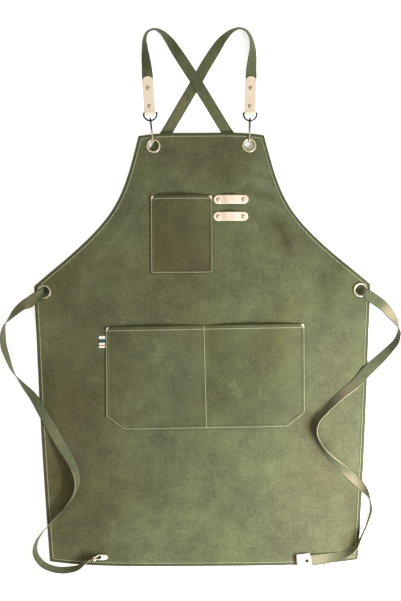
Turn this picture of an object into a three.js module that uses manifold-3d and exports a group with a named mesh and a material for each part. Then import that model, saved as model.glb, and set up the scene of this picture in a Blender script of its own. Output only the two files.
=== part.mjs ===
// A cross-back chef apron lying flat on its back, front up: waxed canvas, webbing straps, leather and brass.
// Millimetres. X runs across the apron, Y up the bib, Z up from the surface that it lies on.
// The tables are in the cut's own frame: X from the centre line, Y from the waist corners.
import * as THREE from "three";
import { mergeVertices } from "three/addons/utils/BufferGeometryUtils.js";
import Module from "manifold-3d";

const wasm = await Module();
wasm.setup();

// Clearance between neighbouring pieces
const GAP = 0.3;

// Canvas body
const CANVAS = 1.2;
const HEM = { width: 6.5, rise: 1.2, step: 1 };
const BIB = {
  height: 279.7, halfTop: 115.8, taper: 0.25, flare: 0.97, flareAt: 147, flareRound: 30.3,
  dip: 5.9, dipPower: 3.5,
};
const SKIRT = {
  length: 522, halfWaist: 310, narrowing: 14, curve: 12, bow: 10.6, bowPower: 3, cornerPower: 4,
};
// Rows and columns of the canvas, with the columns drawn together towards the sides
const BODY_GRID = { columns: 16, crowding: 0.3, lowRows: 3, waistRows: 5, bibRows: 14 };

// Pockets: place of the edges, cut lower corners, and how far the open mouth stands off the body
const POCKET_SEAM = 6;
const POCKET_GRID = { columns: 9, rows: 7 };
const CHEST_POCKET = {
  left: -95.5, right: 21, bottom: 19.5, top: 164, cutX: 0, cutY: 0, halves: 1, fullness: 7.5,
};
const LOWER_POCKET = {
  left: -180, right: 190, bottom: -266.5, top: -78, cutX: 35, cutY: 27, halves: 2, fullness: 8.5,
};

// Webbing, leather and metal
const WEBBING = { width: 20, thickness: 1.4, across: 3, perRow: 2 };
const TAB = { length: 72, width: 20.4, leather: 2, inside: 60, rivets: [22, 55.7], endRound: 10.2 };
const TIP = { length: 27, width: 26, leather: 1.8, inside: 13, rivets: [8], endRound: 3, loop: 3 };
const FOLD = { necks: 3, bends: 6 };
const PEN_TAB = { length: 64.4, width: 16.5, leather: 2, rivetAt: 23.3, bowHalf: 18.5, bow: 7, bends: 10 };
const PEN_TABS = { upper: { x: 54.4, y: 156 }, lower: { x: 53.8, y: 124.7 } };
const RIVET = { cap: 3.5, dome: 1.3, shank: 1.6, sides: 8 };
const D_RING = { halfWidth: 12.2, depth: 14.6, shoulder: 2.4, squareness: 0.25, wire: 1.6 };
const LINK = { wire: 1.5, endRadius: 4, low: 1.7, pastEyelet: 5.5, pastRing: 4 };
const WIRE_GRID = { along: 18, round: 6 };
const EYELET = {
  bore: 9.2, wall: 0.8, front: 13.6, back: 12.8, crown: 1.2, rim: 0.4, flange: 0.8, sides: 14,
};
const EYELETS = {
  top: { x: 88.5, y: 255.5, lift: 4.6, cloth: CANVAS, flat: 24, reach: 80 },
  side: { x: 291.8, y: -12.8, lift: 10, cloth: CANVAS + HEM.rise, flat: 34, reach: 90 },
};
const LABEL = { right: -180.3, top: -95, bottom: -117, out: 11.5, thickness: 1.2 };

// Length of the tools that cut through a piece
const THROUGH = 40;

// The canvas rides over the straps that lie behind it.
const RIDGE = { height: 2.3, flat: 13, reach: 32 };

// Strap routes. rest is the height of the band's lowest edge, and lean its turn about its own length:
// 0 lies flat with the front up, 90 stands on edge and 180 lies with the back up.
// Columns: x, y, rest, lean
const SHOULDERS = {
  left: [
    [-98.8, 384.5, 4.5, 0],
    [-99.65, 397, 2.4, -18],
    [-101.6, 417, 0.4, -36],
    [-103.4, 438, 0, -57],
    [-103.4, 454, 0, -74],
    [-97.5, 466.3, 0, -80],
    [-85, 470.8, 0, -80],
    [-73.5, 466.2, 0, -66],
    [-61, 453.7, 0, -42],
    [-45, 430.5, 0.2, -16],
    [-27.5, 403.5, 0.8, 0],
    [-8.4, 373.8, 1.9, 0],
    [10, 343.5, 0.6, 0],
    [46.7, 282.8, 0, 0],
    [84, 226, 0, 0],
    [118, 174, 0, 0],
    [156, 122, 0, 0],
    [202, 72, 0, 0],
    [258, 22, 0, 0],
  ],
  right: [
    [92.8, 383.3, 4.5, 0],
    [93.25, 396, 2.4, 18],
    [95, 416, 0.4, 36],
    [95.7, 437, 0, 57],
    [92.6, 453.5, 0, 74],
    [85, 466.2, 0, 80],
    [71.5, 471.3, 0, 80],
    [57.5, 466.2, 0, 66],
    [42.5, 453.2, 0, 42],
    [25.5, 430, 0, 16],
    [8.4, 403.3, 0, 0],
    [-8.4, 373.8, 0, 0],
    [-26, 344.5, 0, 0],
    [-62.4, 283.4, 0, 0],
    [-98, 226, 0, 0],
    [-128, 174, 0, 0],
    [-160, 122, 0, 0],
    [-202, 72, 0, 0],
    [-258, 22, 0, 0],
  ],
};

// The way up through a side eyelet, where the band bends into a gutter.
// Columns: distance past the eyelet's middle along the heading, rest, turn of each edge out of the flat
const EYELET_HEADING = { across: 0.82, down: 0.572 };
const EYELET_PASS = [
  [-28, 0, 24],
  [-16, 0, 60],
  [-7.4, 0, 80],
  [-3.1, 0.9, 80],
  [0.3, 3.5, 80],
  [3.9, 8.2, 80],
  [7.4, 12.8, 78],
  [10.4, 14.6, 66],
  [15, 14.6, 44],
  [23, 13.8, 22],
  [34, 9.8, 6],
];

// Columns as in SHOULDERS. The left strap ends in the tie on the right, and the right strap on the left.
const TIES = {
  left: [
    [333.7, -41.3, 3, -30],
    [348.5, -57, 0.6, -52],
    [358.5, -73, 0, -72],
    [362.7, -86, 0, -92],
    [359.5, -104, 0, -114],
    [342, -126, 0.2, -134],
    [322.5, -145, 2.6, -150],
    [303, -163, 3.4, -160],
    [284, -184, 1.9, -146],
    [250, -212, 1.6, -134],
    [226, -236, 1.6, -119],
    [211.5, -257, 1.6, -102],
    [209.4, -276, 1.6, -92],
    [217, -297.5, 1.6, -100],
    [236, -323.5, 1.6, -124],
    [258.5, -344, 1.6, -148],
    [281, -364, 2.2, -157],
    [298, -383, 2.8, -124],
    [306, -397.5, 1.4, -94],
    [309.3, -416, 0, -99],
    [302.5, -441.5, 0.4, -97],
    [290.5, -467.3, 2.8, -94],
    [281, -487, 2.8, -100],
    [266, -499, 1.8, -116],
    [240, -505.5, 2, -142],
    [213.5, -509.7, 5, -168],
    [198, -511.3, 6.9, -180],
  ],
  right: [
    [-329, -36.3, 4.6, 26],
    [-344.5, -48.7, 1, 46],
    [-356, -62, 0, 70],
    [-364, -72, 0, 90],
    [-368, -90, 0, 112],
    [-367, -111, 0, 118],
    [-360.5, -132.5, 0, 112],
    [-349, -160.5, 0, 92],
    [-332.5, -183, 0.4, 62],
    [-314, -205, 1.8, 36],
    [-297, -233.5, 3.3, 20],
    [-278, -269, 2.3, 2],
    [-258, -303, 1.6, -26],
    [-243, -328.5, 1.6, -46],
    [-234.5, -350, 1.6, -60],
    [-232.7, -366, 1.6, -68],
    [-236.5, -382.5, 1.6, -80],
    [-250, -404, 1.6, -86],
    [-276, -433, 2.9, -87],
    [-297.5, -456.5, 2.4, -84],
    [-309.5, -477, 0, -76],
    [-310.5, -496, 0, -68],
    [-299, -513.5, 0, -64],
    [-275, -524.8, 0, -62],
    [-246, -525.2, 1.8, -62],
    [-229, -520.3, 3, -67],
    [-219.5, -513.8, 3.8, -74],
    [-211, -509.3, 4.4, -81],
    [-204, -507.6, 5, -86],
  ],
};

const MATERIALS = {
  canvas: new THREE.MeshStandardMaterial({ color: 0x686b48, roughness: 0.85, metalness: 0 }),
  webbing: new THREE.MeshStandardMaterial({ color: 0x6c7452, roughness: 0.9, metalness: 0 }),
  leather: new THREE.MeshStandardMaterial({ color: 0xf0dcc3, roughness: 0.6, metalness: 0 }),
  brass: new THREE.MeshStandardMaterial({ color: 0xb8a273, roughness: 0.35, metalness: 1 }),
  gunmetal: new THREE.MeshStandardMaterial({ color: 0x4c4943, roughness: 0.4, metalness: 1 }),
  label: new THREE.MeshStandardMaterial({ color: 0xe6e2d8, roughness: 0.9, metalness: 0 }),
};

const apron = new THREE.Group();

function addPiece(name, geometry, material, frame = new THREE.Matrix4()) {
  const mesh = new THREE.Mesh(geometry, material);
  mesh.name = name;
  mesh.applyMatrix4(frame);
  apron.add(mesh);
}

// Closed solids, for cuts and joins

function solidOf(geometry) {
  const bare = geometry.clone();
  bare.deleteAttribute("normal");
  bare.deleteAttribute("uv");
  const merged = mergeVertices(bare, 1e-4);
  const vertProperties = merged.attributes.position.array;
  const triVerts = new Uint32Array(merged.index.array);
  return new wasm.Manifold(new wasm.Mesh({ numProp: 3, vertProperties, triVerts }));
}

function geometryOf(solid) {
  const mesh = solid.getMesh();
  const geometry = new THREE.BufferGeometry();
  geometry.setAttribute("position", new THREE.BufferAttribute(mesh.vertProperties, 3));
  geometry.setIndex(new THREE.BufferAttribute(mesh.triVerts, 1));
  return geometry;
}

// A round hole's tool, along the frame's own Z
function bore(radius, frame, sides = 12) {
  const tool = new THREE.CylinderGeometry(radius, radius, THROUGH, sides);
  return tool.rotateX(Math.PI / 2).applyMatrix4(frame);
}

function cut(geometry, tools) {
  const left = tools.reduce((solid, tool) => solid.subtract(solidOf(tool)), solidOf(geometry));
  return geometryOf(left);
}

function placed(x, y, z) {
  return new THREE.Matrix4().makeTranslation(x, y, z);
}

// A closed skin over rings of points. Each ring runs over the upper side and back under the lower side.
function loft(rings) {
  const count = rings[0].length;
  const upper = count / 2;
  const last = (rings.length - 1) * count;
  const index = [];
  const quad = (a, b, c, d) => index.push(a, b, c, a, c, d);
  for (let r = 0; r + 1 < rings.length; r++) {
    for (let i = 0; i < count; i++) {
      const j = (i + 1) % count;
      const corners = [r * count + i, (r + 1) * count + i, (r + 1) * count + j, r * count + j];
      // Both sides of a sheet are split along the same diagonal.
      if (i >= upper) corners.push(corners.shift());
      quad(...corners);
    }
  }
  for (let i = 0; i + 1 < upper; i++) {
    const below = count - 1 - i;
    quad(i, i + 1, below - 1, below);
    quad(last + i, last + below, last + below - 1, last + i + 1);
  }
  const geometry = new THREE.BufferGeometry();
  const numbers = rings.flat().flatMap((point) => point.toArray());
  geometry.setAttribute("position", new THREE.Float32BufferAttribute(numbers, 3));
  geometry.setIndex(index);
  return geometry;
}

// Equal steps from one number to another, without the first
function steps(from, to, count) {
  return Array.from({ length: count }, (_, i) => from + ((to - from) * (i + 1)) / count);
}

// 1 up to the flat radius, then a smooth fall to 0 at the reach
function mound(distance, { flat, reach }) {
  return 1 - THREE.MathUtils.smoothstep(distance, flat, reach);
}

// Webbing straps

// A smooth curve through the rows of a table, one value per column, with the rows' spacing kept
function routeAt(rows, t) {
  const last = rows.length - 1;
  const k = Math.min(Math.floor(t), last - 1);
  const span = (i) => Math.hypot(rows[i + 1][0] - rows[i][0], rows[i + 1][1] - rows[i][1]);
  const rate = (i, c) => (rows[i + 1][c] - rows[i][c]) / span(i);
  const slope = (i, c) => {
    if (i === 0) return rate(0, c);
    if (i === last) return rate(last - 1, c);
    const before = span(i - 1);
    const after = span(i);
    return (rate(i - 1, c) * after + rate(i, c) * before) / (before + after);
  };
  const f = t - k;
  const h = span(k);
  return rows[k].map((value, c) => {
    const rise = rows[k + 1][c] - value;
    const a = h * slope(k, c);
    const b = h * slope(k + 1, c);
    return value + f * (a + f * (3 * rise - 2 * a - b + f * (a + b - 2 * rise)));
  });
}

// All rows of one strap, with columns x, y, rest, lean, curl
function strapRoute(side) {
  const way = side === "left" ? 1 : -1;
  const flat = ([x, y, rest, lean]) => [x, y, rest, lean, 0];
  const pass = EYELET_PASS.map(([ahead, rest, curl]) => [
    way * (EYELETS.side.x + ahead * EYELET_HEADING.across),
    EYELETS.side.y - ahead * EYELET_HEADING.down,
    rest,
    0,
    curl,
  ]);
  return [...SHOULDERS[side].map(flat), ...pass, ...TIES[side].map(flat)];
}

// Where the band's middle is at a place on its route, and how it is turned there
function bandFrame(rows, t) {
  const middle = (at) => {
    const [x, y, rest, lean] = routeAt(rows, at);
    const turn = THREE.MathUtils.degToRad(lean);
    const upright = WEBBING.width * Math.abs(Math.sin(turn));
    const flat = WEBBING.thickness * Math.abs(Math.cos(turn));
    return new THREE.Vector3(x, y, Math.max(0, rest) + (upright + flat) / 2);
  };
  const nudge = 0.01;
  const end = rows.length - 1;
  const point = middle(t);
  const along = middle(Math.min(t + nudge, end)).sub(middle(Math.max(t - nudge, 0))).normalize();
  if (t === 0 || t === end) along.setZ(0).normalize();
  const [, , , lean, curl] = routeAt(rows, t);
  const flatAcross = new THREE.Vector3(-along.y, along.x, 0).normalize();
  const across = flatAcross.applyAxisAngle(along, THREE.MathUtils.degToRad(lean));
  const normal = along.clone().cross(across);
  return { point, along, across, normal, curl: THREE.MathUtils.degToRad(Math.max(0, curl)) };
}

// The band's section: a flat strip, or an arc that turns both edges towards the normal
function bandRing({ point, across, normal, curl }) {
  const half = WEBBING.width / 2;
  const side = (offset) =>
    Array.from({ length: WEBBING.across }, (_, i) => {
      const w = -half + (WEBBING.width * i) / (WEBBING.across - 1);
      const angle = (w / half) * curl;
      const radius = curl ? half / curl : 0;
      const out = curl ? radius * Math.sin(angle) : w;
      const up = radius * (1 - Math.cos(angle));
      const p = point.clone();
      p.addScaledVector(across, out - offset * Math.sin(angle));
      return p.addScaledVector(normal, up + offset * Math.cos(angle));
    });
  return [...side(WEBBING.thickness / 2), ...side(-WEBBING.thickness / 2).reverse()];
}

// The frame slid along its own length
function slid(frame, distance) {
  return { ...frame, point: frame.point.clone().addScaledVector(frame.along, distance) };
}

function buildStrap(side) {
  const rows = strapRoute(side);
  const last = rows.length - 1;
  const count = last * WEBBING.perRow;
  const frames = Array.from({ length: count + 1 }, (_, i) => bandFrame(rows, i / WEBBING.perRow));
  const level = ({ point }) => point.clone().setZ(0);
  const behind = frames.slice(0, SHOULDERS[side].length * WEBBING.perRow);
  return {
    start: frames[0],
    end: frames[count],
    hidden: behind.slice(1).map((frame, i) => new THREE.Line3(level(behind[i]), level(frame))),
    frames: [slid(frames[0], -TAB.inside), ...frames, slid(frames[count], TIP.inside)],
  };
}

const straps = { left: buildStrap("left"), right: buildStrap("right") };

// X along the band, Y across it, Z out of its front
function bandMatrix({ point, along, across, normal }) {
  return new THREE.Matrix4().makeBasis(along, across, normal).setPosition(point);
}

// Canvas body

function armhole(y) {
  const depth = BIB.height - BIB.dip - y;
  const bend = Math.log(1 + Math.exp((depth - BIB.flareAt) / BIB.flareRound));
  return BIB.halfTop + BIB.taper * depth + BIB.flare * BIB.flareRound * bend;
}

function skirtSide(y) {
  const down = -y / SKIRT.length;
  return SKIRT.halfWaist - SKIRT.narrowing * down - SKIRT.curve * down * Math.abs(down);
}

// Half the body's width at a height, measured in from the edge square to it
function halfWidth(y, inset) {
  const edges = [armhole, skirtSide].map((edge) => {
    const slope = edge(y + 0.5) - edge(y - 0.5);
    return edge(y) - inset * Math.hypot(1, slope);
  });
  return Math.min(...edges);
}

// How far the top and lower edges bend away from straight rows, by the share of the half width
function rowBow(row, share) {
  const top = -BIB.dip * Math.max(0, row / BIB.height) * Math.abs(share) ** BIB.dipPower;
  const down = Math.max(0, -row / SKIRT.length);
  const bottom = SKIRT.bow * down ** SKIRT.bowPower * Math.abs(share) ** SKIRT.cornerPower;
  return top + bottom;
}

// Height of the canvas's underside: the straps behind it and the eyelets lift it.
function canvasLift(x, y) {
  const spot = new THREE.Vector3(x, y, 0);
  const onLeg = new THREE.Vector3();
  let lift = 0;
  for (const { hidden } of Object.values(straps)) {
    const distances = hidden.map((leg) => leg.closestPointToPoint(spot, true, onLeg).distanceTo(spot));
    lift = Math.max(lift, RIDGE.height * mound(Math.min(...distances), RIDGE));
  }
  for (const eyelet of Object.values(EYELETS)) {
    const distance = Math.hypot(Math.abs(x) - eyelet.x, y - eyelet.y);
    lift = Math.max(lift, eyelet.lift * mound(distance, eyelet));
  }
  return lift;
}

function bodyGeometry() {
  const inner = HEM.width + HEM.step;
  const flatBelow = EYELETS.side.y - EYELETS.side.reach;
  const hem = [0, HEM.width, inner];
  const { columns: count, crowding, lowRows, waistRows, bibRows } = BODY_GRID;
  const fan = steps(1, -1, count).slice(0, -1);
  const shares = fan.map((t) => THREE.MathUtils.lerp(t, Math.sin((Math.PI / 2) * t), crowding));
  const rows = [
    ...hem.map((d) => d - SKIRT.length),
    ...steps(inner - SKIRT.length, flatBelow, lowRows),
    ...steps(flatBelow, 0, waistRows),
    ...steps(0, BIB.height - inner, bibRows),
    BIB.height - HEM.width,
    BIB.height,
  ];
  const rings = rows.map((row, r) => {
    const edgeY = row + rowBow(row, 1);
    const innerHalf = halfWidth(edgeY, inner);
    const edgeHalf = halfWidth(edgeY, 0);
    const rightHem = hem.map((d) => halfWidth(edgeY, d));
    const columns = [...rightHem, ...shares.map((u) => u * innerHalf), ...rightHem.map((x) => -x).reverse()];
    const hemRow = r < 2 || r > rows.length - 3;
    const upper = [];
    const lower = [];
    columns.forEach((x, c) => {
      const y = row + rowBow(row, x / edgeHalf);
      const z = canvasLift(x, y);
      const doubled = hemRow || c < 2 || c > columns.length - 3;
      lower.unshift(new THREE.Vector3(x, y, z));
      upper.push(new THREE.Vector3(x, y, z + CANVAS + (doubled ? HEM.rise : 0)));
    });
    return [...upper, ...lower];
  });
  return loft(rings);
}

// Pockets: a sheet sewn down along its sides and lower edge, full towards its open mouth

function pocketGeometry(pocket) {
  const middle = (pocket.left + pocket.right) / 2;
  const half = (pocket.right - pocket.left) / 2;
  const panel = (2 * half) / pocket.halves;
  const seamHalf = POCKET_SEAM / 2;
  const columns = [pocket.right, pocket.right - POCKET_SEAM];
  for (let k = pocket.halves; k > 0; k--) {
    const right = pocket.left + k * panel - (k === pocket.halves ? POCKET_SEAM : seamHalf);
    const left = pocket.left + (k - 1) * panel + (k === 1 ? POCKET_SEAM : seamHalf);
    if (k < pocket.halves) columns.push(right);
    columns.push(...steps(right, left, POCKET_GRID.columns));
  }
  columns.push(pocket.left);
  const height = pocket.top - pocket.bottom;
  const levels = [0, POCKET_SEAM / height, ...steps(POCKET_SEAM / height, 1, POCKET_GRID.rows)];
  const corner = pocket.cutX ? pocket.cutY / pocket.cutX : 0;
  const rings = levels.map((level) => {
    const upper = [];
    const lower = [];
    for (const x of columns) {
      const cutUp = corner * Math.max(0, Math.abs(x - middle) - (half - pocket.cutX));
      const y = pocket.bottom + cutUp + (height - cutUp) * level;
      const z = canvasLift(x, y) + CANVAS + GAP + pocketRise(pocket, x, level);
      upper.push(new THREE.Vector3(x, y, z + CANVAS));
      lower.unshift(new THREE.Vector3(x, y, z));
    }
    return [...upper, ...lower];
  });
  return loft(rings);
}

// How far a pocket stands off the body: nothing along its seams, most in the middle of its mouth
function pocketRise(pocket, x, level) {
  const panel = (pocket.right - pocket.left) / pocket.halves;
  const within = ((x - pocket.left) / panel) % 1;
  const free = panel / 2 - POCKET_SEAM;
  const u = Math.min(1, Math.abs(within - 0.5) * (panel / free));
  const seam = POCKET_SEAM / (pocket.top - pocket.bottom);
  const v = Math.max(0, (level - seam) / (1 - seam));
  return pocket.fullness * (1 - u ** 4) * (1 - (1 - v) ** 4);
}

// Eyelets, rivets, rings and links

// A ring that clamps the canvas: a domed front flange, a barrel and a flat back flange.
// The front's heights are shares of its crown.
function eyeletGeometry(cloth) {
  const { bore: r, wall, front, back, crown, rim, flange } = EYELET;
  const face = cloth + GAP;
  const profile = [
    [r, -GAP - flange],
    [back, -GAP - flange],
    [back, -GAP],
    [r + wall, -GAP],
    [r + wall, face],
    [front, face],
    [front - rim, face + 0.6 * crown],
    [(r + front) / 2, face + crown],
    [r, face + 0.4 * crown],
    [r, -GAP - flange],
  ];
  const points = profile.map(([x, y]) => new THREE.Vector2(x, y));
  return new THREE.LatheGeometry(points, EYELET.sides).rotateX(Math.PI / 2);
}

// Domed caps on a shank. Heights are the undersides of the caps, and a single cap leaves the lower end flush.
// A cap's shoulder is at shares of its radius and its dome.
function rivetGeometry(low, high, capBelow) {
  const { cap, dome, shank, sides } = RIVET;
  const below = [
    [0, low - dome],
    [0.6 * cap, low - 0.8 * dome],
    [cap, low],
  ];
  const profile = [
    ...(capBelow ? below : [[0, low]]),
    [shank, low],
    [shank, high],
    [cap, high],
    [0.6 * cap, high + 0.8 * dome],
    [0, high + dome],
  ];
  const points = profile.map(([x, y]) => new THREE.Vector2(x, y));
  return new THREE.LatheGeometry(points, sides).rotateX(Math.PI / 2);
}

class Loop extends THREE.Curve {
  constructor(pointAt) {
    super();
    this.pointAt = pointAt;
  }
  getPoint(t, target = new THREE.Vector3()) {
    return target.copy(this.pointAt(t));
  }
}

// Half an ellipse below a flat bar with rounded shoulders
function dRingGeometry() {
  const { halfWidth: a, depth, shoulder, squareness, wire } = D_RING;
  const curve = new Loop((t) => {
    const angle = 2 * Math.PI * t;
    const c = Math.cos(angle);
    const s = Math.sin(angle);
    if (s <= 0) return new THREE.Vector3(a * c, (depth - shoulder) * s - shoulder, 0);
    const square = (value) => Math.sign(value) * Math.abs(value) ** squareness;
    return new THREE.Vector3(a * square(c), shoulder * (square(s) - 1), 0);
  });
  return new THREE.TubeGeometry(curve, WIRE_GRID.along, wire, WIRE_GRID.round, true);
}

// Two straight strands joined by half circles, upright in its own XZ plane
function linkGeometry(length) {
  const r = LINK.endRadius;
  const straight = length - 2 * r;
  const half = Math.PI * r;
  const curve = new Loop((t) => {
    const run = (t % 1) * 2 * (straight + half);
    if (run < straight) return new THREE.Vector3(run, 0, -r);
    if (run < straight + half) {
      const angle = (run - straight) / r;
      return new THREE.Vector3(straight + r * Math.sin(angle), 0, -r * Math.cos(angle));
    }
    if (run < 2 * straight + half) return new THREE.Vector3(2 * straight + half - run, 0, r);
    const angle = (run - 2 * straight - half) / r;
    return new THREE.Vector3(-r * Math.sin(angle), 0, r * Math.cos(angle));
  });
  return new THREE.TubeGeometry(curve, WIRE_GRID.along, LINK.wire, WIRE_GRID.round, true);
}

// Leather

// The part of a strip inside an outline seen from above
function trimmed(strip, plan) {
  const cutter = new THREE.ExtrudeGeometry(plan, { depth: THROUGH, bevelEnabled: false, curveSegments: 6 });
  cutter.translate(0, 0, -THROUGH / 2);
  return geometryOf(solidOf(strip).intersect(solidOf(cutter)));
}

// A strip folded round a loop over both faces of the band, with a rounded free end.
// X runs from the free end at 0 to the fold, Z out of the band.
// The two faces part over a neck of a few loop radii.
function foldedLeather({ length, width, leather, endRound }, loop) {
  const slot = WEBBING.thickness / 2 + GAP;
  const centre = length - loop - leather;
  const neck = centre - FOLD.necks * loop;
  const bends = steps(0, Math.PI, FOLD.bends).slice(0, -1);
  const side = (offset, sign) => [
    [0, sign * (slot + offset)],
    [neck, sign * (slot + offset)],
    [centre, sign * (loop + offset)],
  ];
  const arc = (radius) => bends.map((a) => [centre + radius * Math.sin(a), radius * Math.cos(a)]);
  const outline = [
    ...side(leather, 1),
    ...arc(loop + leather),
    ...side(leather, -1).reverse(),
    ...side(0, -1),
    ...arc(loop).reverse(),
    ...side(0, 1).reverse(),
  ];
  const shape = new THREE.Shape(outline.map(([x, z]) => new THREE.Vector2(x, z)));
  const strip = new THREE.ExtrudeGeometry(shape, { depth: width, bevelEnabled: false });
  strip.translate(0, 0, -width / 2).rotateX(Math.PI / 2);
  const plan = new THREE.Shape();
  plan.moveTo(length + 1, -width / 2);
  plan.lineTo(length + 1, width / 2);
  plan.lineTo(endRound, width / 2);
  plan.absellipse(endRound, 0, endRound, width / 2, Math.PI / 2, (3 * Math.PI) / 2, false);
  return trimmed(strip, plan);
}

// A strip with round ends, bowed up between its two rivets
function penTabGeometry() {
  const { length, width, leather, bowHalf, bow } = PEN_TAB;
  const xs = [-length / 2, -bowHalf, ...steps(-bowHalf, bowHalf, PEN_TAB.bends), length / 2];
  const rise = (x) => bow * Math.cos((Math.PI / 2) * Math.min(1, Math.abs(x) / bowHalf)) ** 2;
  const lower = xs.map((x) => new THREE.Vector2(x, rise(x)));
  const upper = xs.map((x) => new THREE.Vector2(x, rise(x) + leather)).reverse();
  const section = new THREE.Shape([...lower, ...upper]);
  const strip = new THREE.ExtrudeGeometry(section, { depth: width, bevelEnabled: false });
  strip.translate(0, 0, -width / 2).rotateX(Math.PI / 2);
  const end = length / 2 - width / 2;
  const plan = new THREE.Shape();
  plan.absarc(end, 0, width / 2, -Math.PI / 2, Math.PI / 2, false);
  plan.absarc(-end, 0, width / 2, Math.PI / 2, (3 * Math.PI) / 2, false);
  return trimmed(strip, plan);
}

// A woven strip folded over, its fold away from the seam
function labelGeometry() {
  const { right, out, thickness, top, bottom } = LABEL;
  const r = thickness / 2;
  const section = new THREE.Shape();
  section.moveTo(right, -r);
  section.lineTo(right, r);
  section.absarc(right - out + r, 0, r, Math.PI / 2, (3 * Math.PI) / 2, false);
  const options = { depth: top - bottom, bevelEnabled: false, curveSegments: 5 };
  const strip = new THREE.ExtrudeGeometry(section, options);
  return strip.rotateX(Math.PI / 2).translate(0, top, CANVAS + GAP + r);
}

// The whole apron

const SIDES = { left: -1, right: 1 };
const rivetBore = RIVET.shank + GAP;
const bodyTools = [];

for (const [level, eyelet] of Object.entries(EYELETS)) {
  for (const [side, sign] of Object.entries(SIDES)) {
    const frame = placed(sign * eyelet.x, eyelet.y, eyelet.lift);
    addPiece(`eyelet_${level}_${side}`, eyeletGeometry(eyelet.cloth), MATERIALS.brass, frame);
    bodyTools.push(bore(EYELET.bore + EYELET.wall + GAP, frame, EYELET.sides));
  }
}

for (const [level, { x, y }] of Object.entries(PEN_TABS)) {
  const seat = CANVAS + GAP;
  const places = Object.entries(SIDES).map(([side, sign]) => [side, sign * PEN_TAB.rivetAt]);
  const tools = places.map(([, along]) => bore(rivetBore, placed(along, 0, 0)));
  addPiece(`pen_tab_${level}`, cut(penTabGeometry(), tools), MATERIALS.leather, placed(x, y, seat));
  for (const [side, along] of places) {
    const rivet = rivetGeometry(GAP, seat + PEN_TAB.leather + GAP, false);
    addPiece(`pen_rivet_${level}_${side}`, rivet, MATERIALS.brass, placed(x + along, y, 0));
    bodyTools.push(bore(rivetBore, placed(x + along, y, 0)));
  }
}

addPiece("apron_body", cut(bodyGeometry(), bodyTools), MATERIALS.canvas);
addPiece("chest_pocket", pocketGeometry(CHEST_POCKET), MATERIALS.canvas);
addPiece("lower_pocket", pocketGeometry(LOWER_POCKET), MATERIALS.canvas);
addPiece("side_label", labelGeometry(), MATERIALS.label);

for (const [side, strap] of Object.entries(straps)) {
  // The tab runs back from the strap's start, and the tip on from its end.
  const turned = new THREE.Matrix4().makeRotationZ(Math.PI);
  const tabFrame = bandMatrix(strap.start).multiply(turned);
  const tipFrame = bandMatrix(strap.end);
  const ringLoop = D_RING.wire + 2 * GAP;
  const ends = [
    { node: `strap_tab_${side}`, rivet: `tab_rivet_${side}`, spec: TAB, loop: ringLoop, frame: tabFrame },
    { node: `tie_tip_${side}`, rivet: `tip_rivet_${side}`, spec: TIP, loop: TIP.loop, frame: tipFrame },
  ];
  const strapTools = [];
  for (const { node, rivet, spec, loop, frame } of ends) {
    const tools = spec.rivets.map((along) => bore(rivetBore, placed(along, 0, 0)));
    addPiece(node, cut(foldedLeather(spec, loop), tools), MATERIALS.leather, frame);
    const grip = WEBBING.thickness / 2 + 2 * GAP + spec.leather;
    spec.rivets.forEach((along, k) => {
      const place = frame.clone().multiply(placed(along, 0, 0));
      const rivetName = spec.rivets.length > 1 ? `${rivet}_${k + 1}` : rivet;
      addPiece(rivetName, rivetGeometry(-grip, grip, true), MATERIALS.brass, place);
      strapTools.push(bore(rivetBore, place));
    });
  }
  addPiece(`strap_${side}`, cut(loft(strap.frames.map(bandRing)), strapTools), MATERIALS.webbing);

  // The D-ring's bar lies in the tab's fold, and the link joins its bow to the top eyelet.
  const barAt = TAB.length - TAB.leather - ringLoop;
  const bar = new THREE.Vector3(barAt, 0, 0).applyMatrix4(tabFrame);
  const ringFrame = bandMatrix(slid(strap.start, -barAt));
  ringFrame.multiply(new THREE.Matrix4().makeRotationZ(-Math.PI / 2));
  addPiece(`d_ring_${side}`, dRingGeometry(), MATERIALS.gunmetal, ringFrame);
  const bow = bar.clone().addScaledVector(strap.start.along, -D_RING.depth);
  const eyelet = new THREE.Vector3(SIDES[side] * EYELETS.top.x, EYELETS.top.y, 0);
  const across = bow.clone().sub(eyelet).setZ(0);
  const heading = Math.atan2(across.y, across.x);
  const from = LINK.pastEyelet + LINK.endRadius;
  const reach = across.length() + LINK.pastRing - LINK.pastEyelet;
  const start = eyelet.addScaledVector(across.normalize(), from);
  const linkFrame = placed(start.x, start.y, LINK.low + LINK.endRadius);
  linkFrame.multiply(new THREE.Matrix4().makeRotationZ(heading));
  addPiece(`link_${side}`, linkGeometry(reach), MATERIALS.brass, linkFrame);
}

// The origin is the middle of the part's box, on the surface that it lies on.
const box = new THREE.Box3().setFromObject(apron, true);
const middle = box.getCenter(new THREE.Vector3());
apron.position.set(-middle.x, -middle.y, -box.min.z);

export default apron;
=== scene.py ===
"""Dresses a cross-back chef apron that lies flat on a pale floor.

Waxed canvas, cotton webbing, undyed leather and metal fittings are shaped from the sizes of the
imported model. Lengths are millimetres in the frame of the cut: X from the centre line, Y from the
waist corners, Z up from the floor.
"""

import math
from functools import lru_cache

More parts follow.
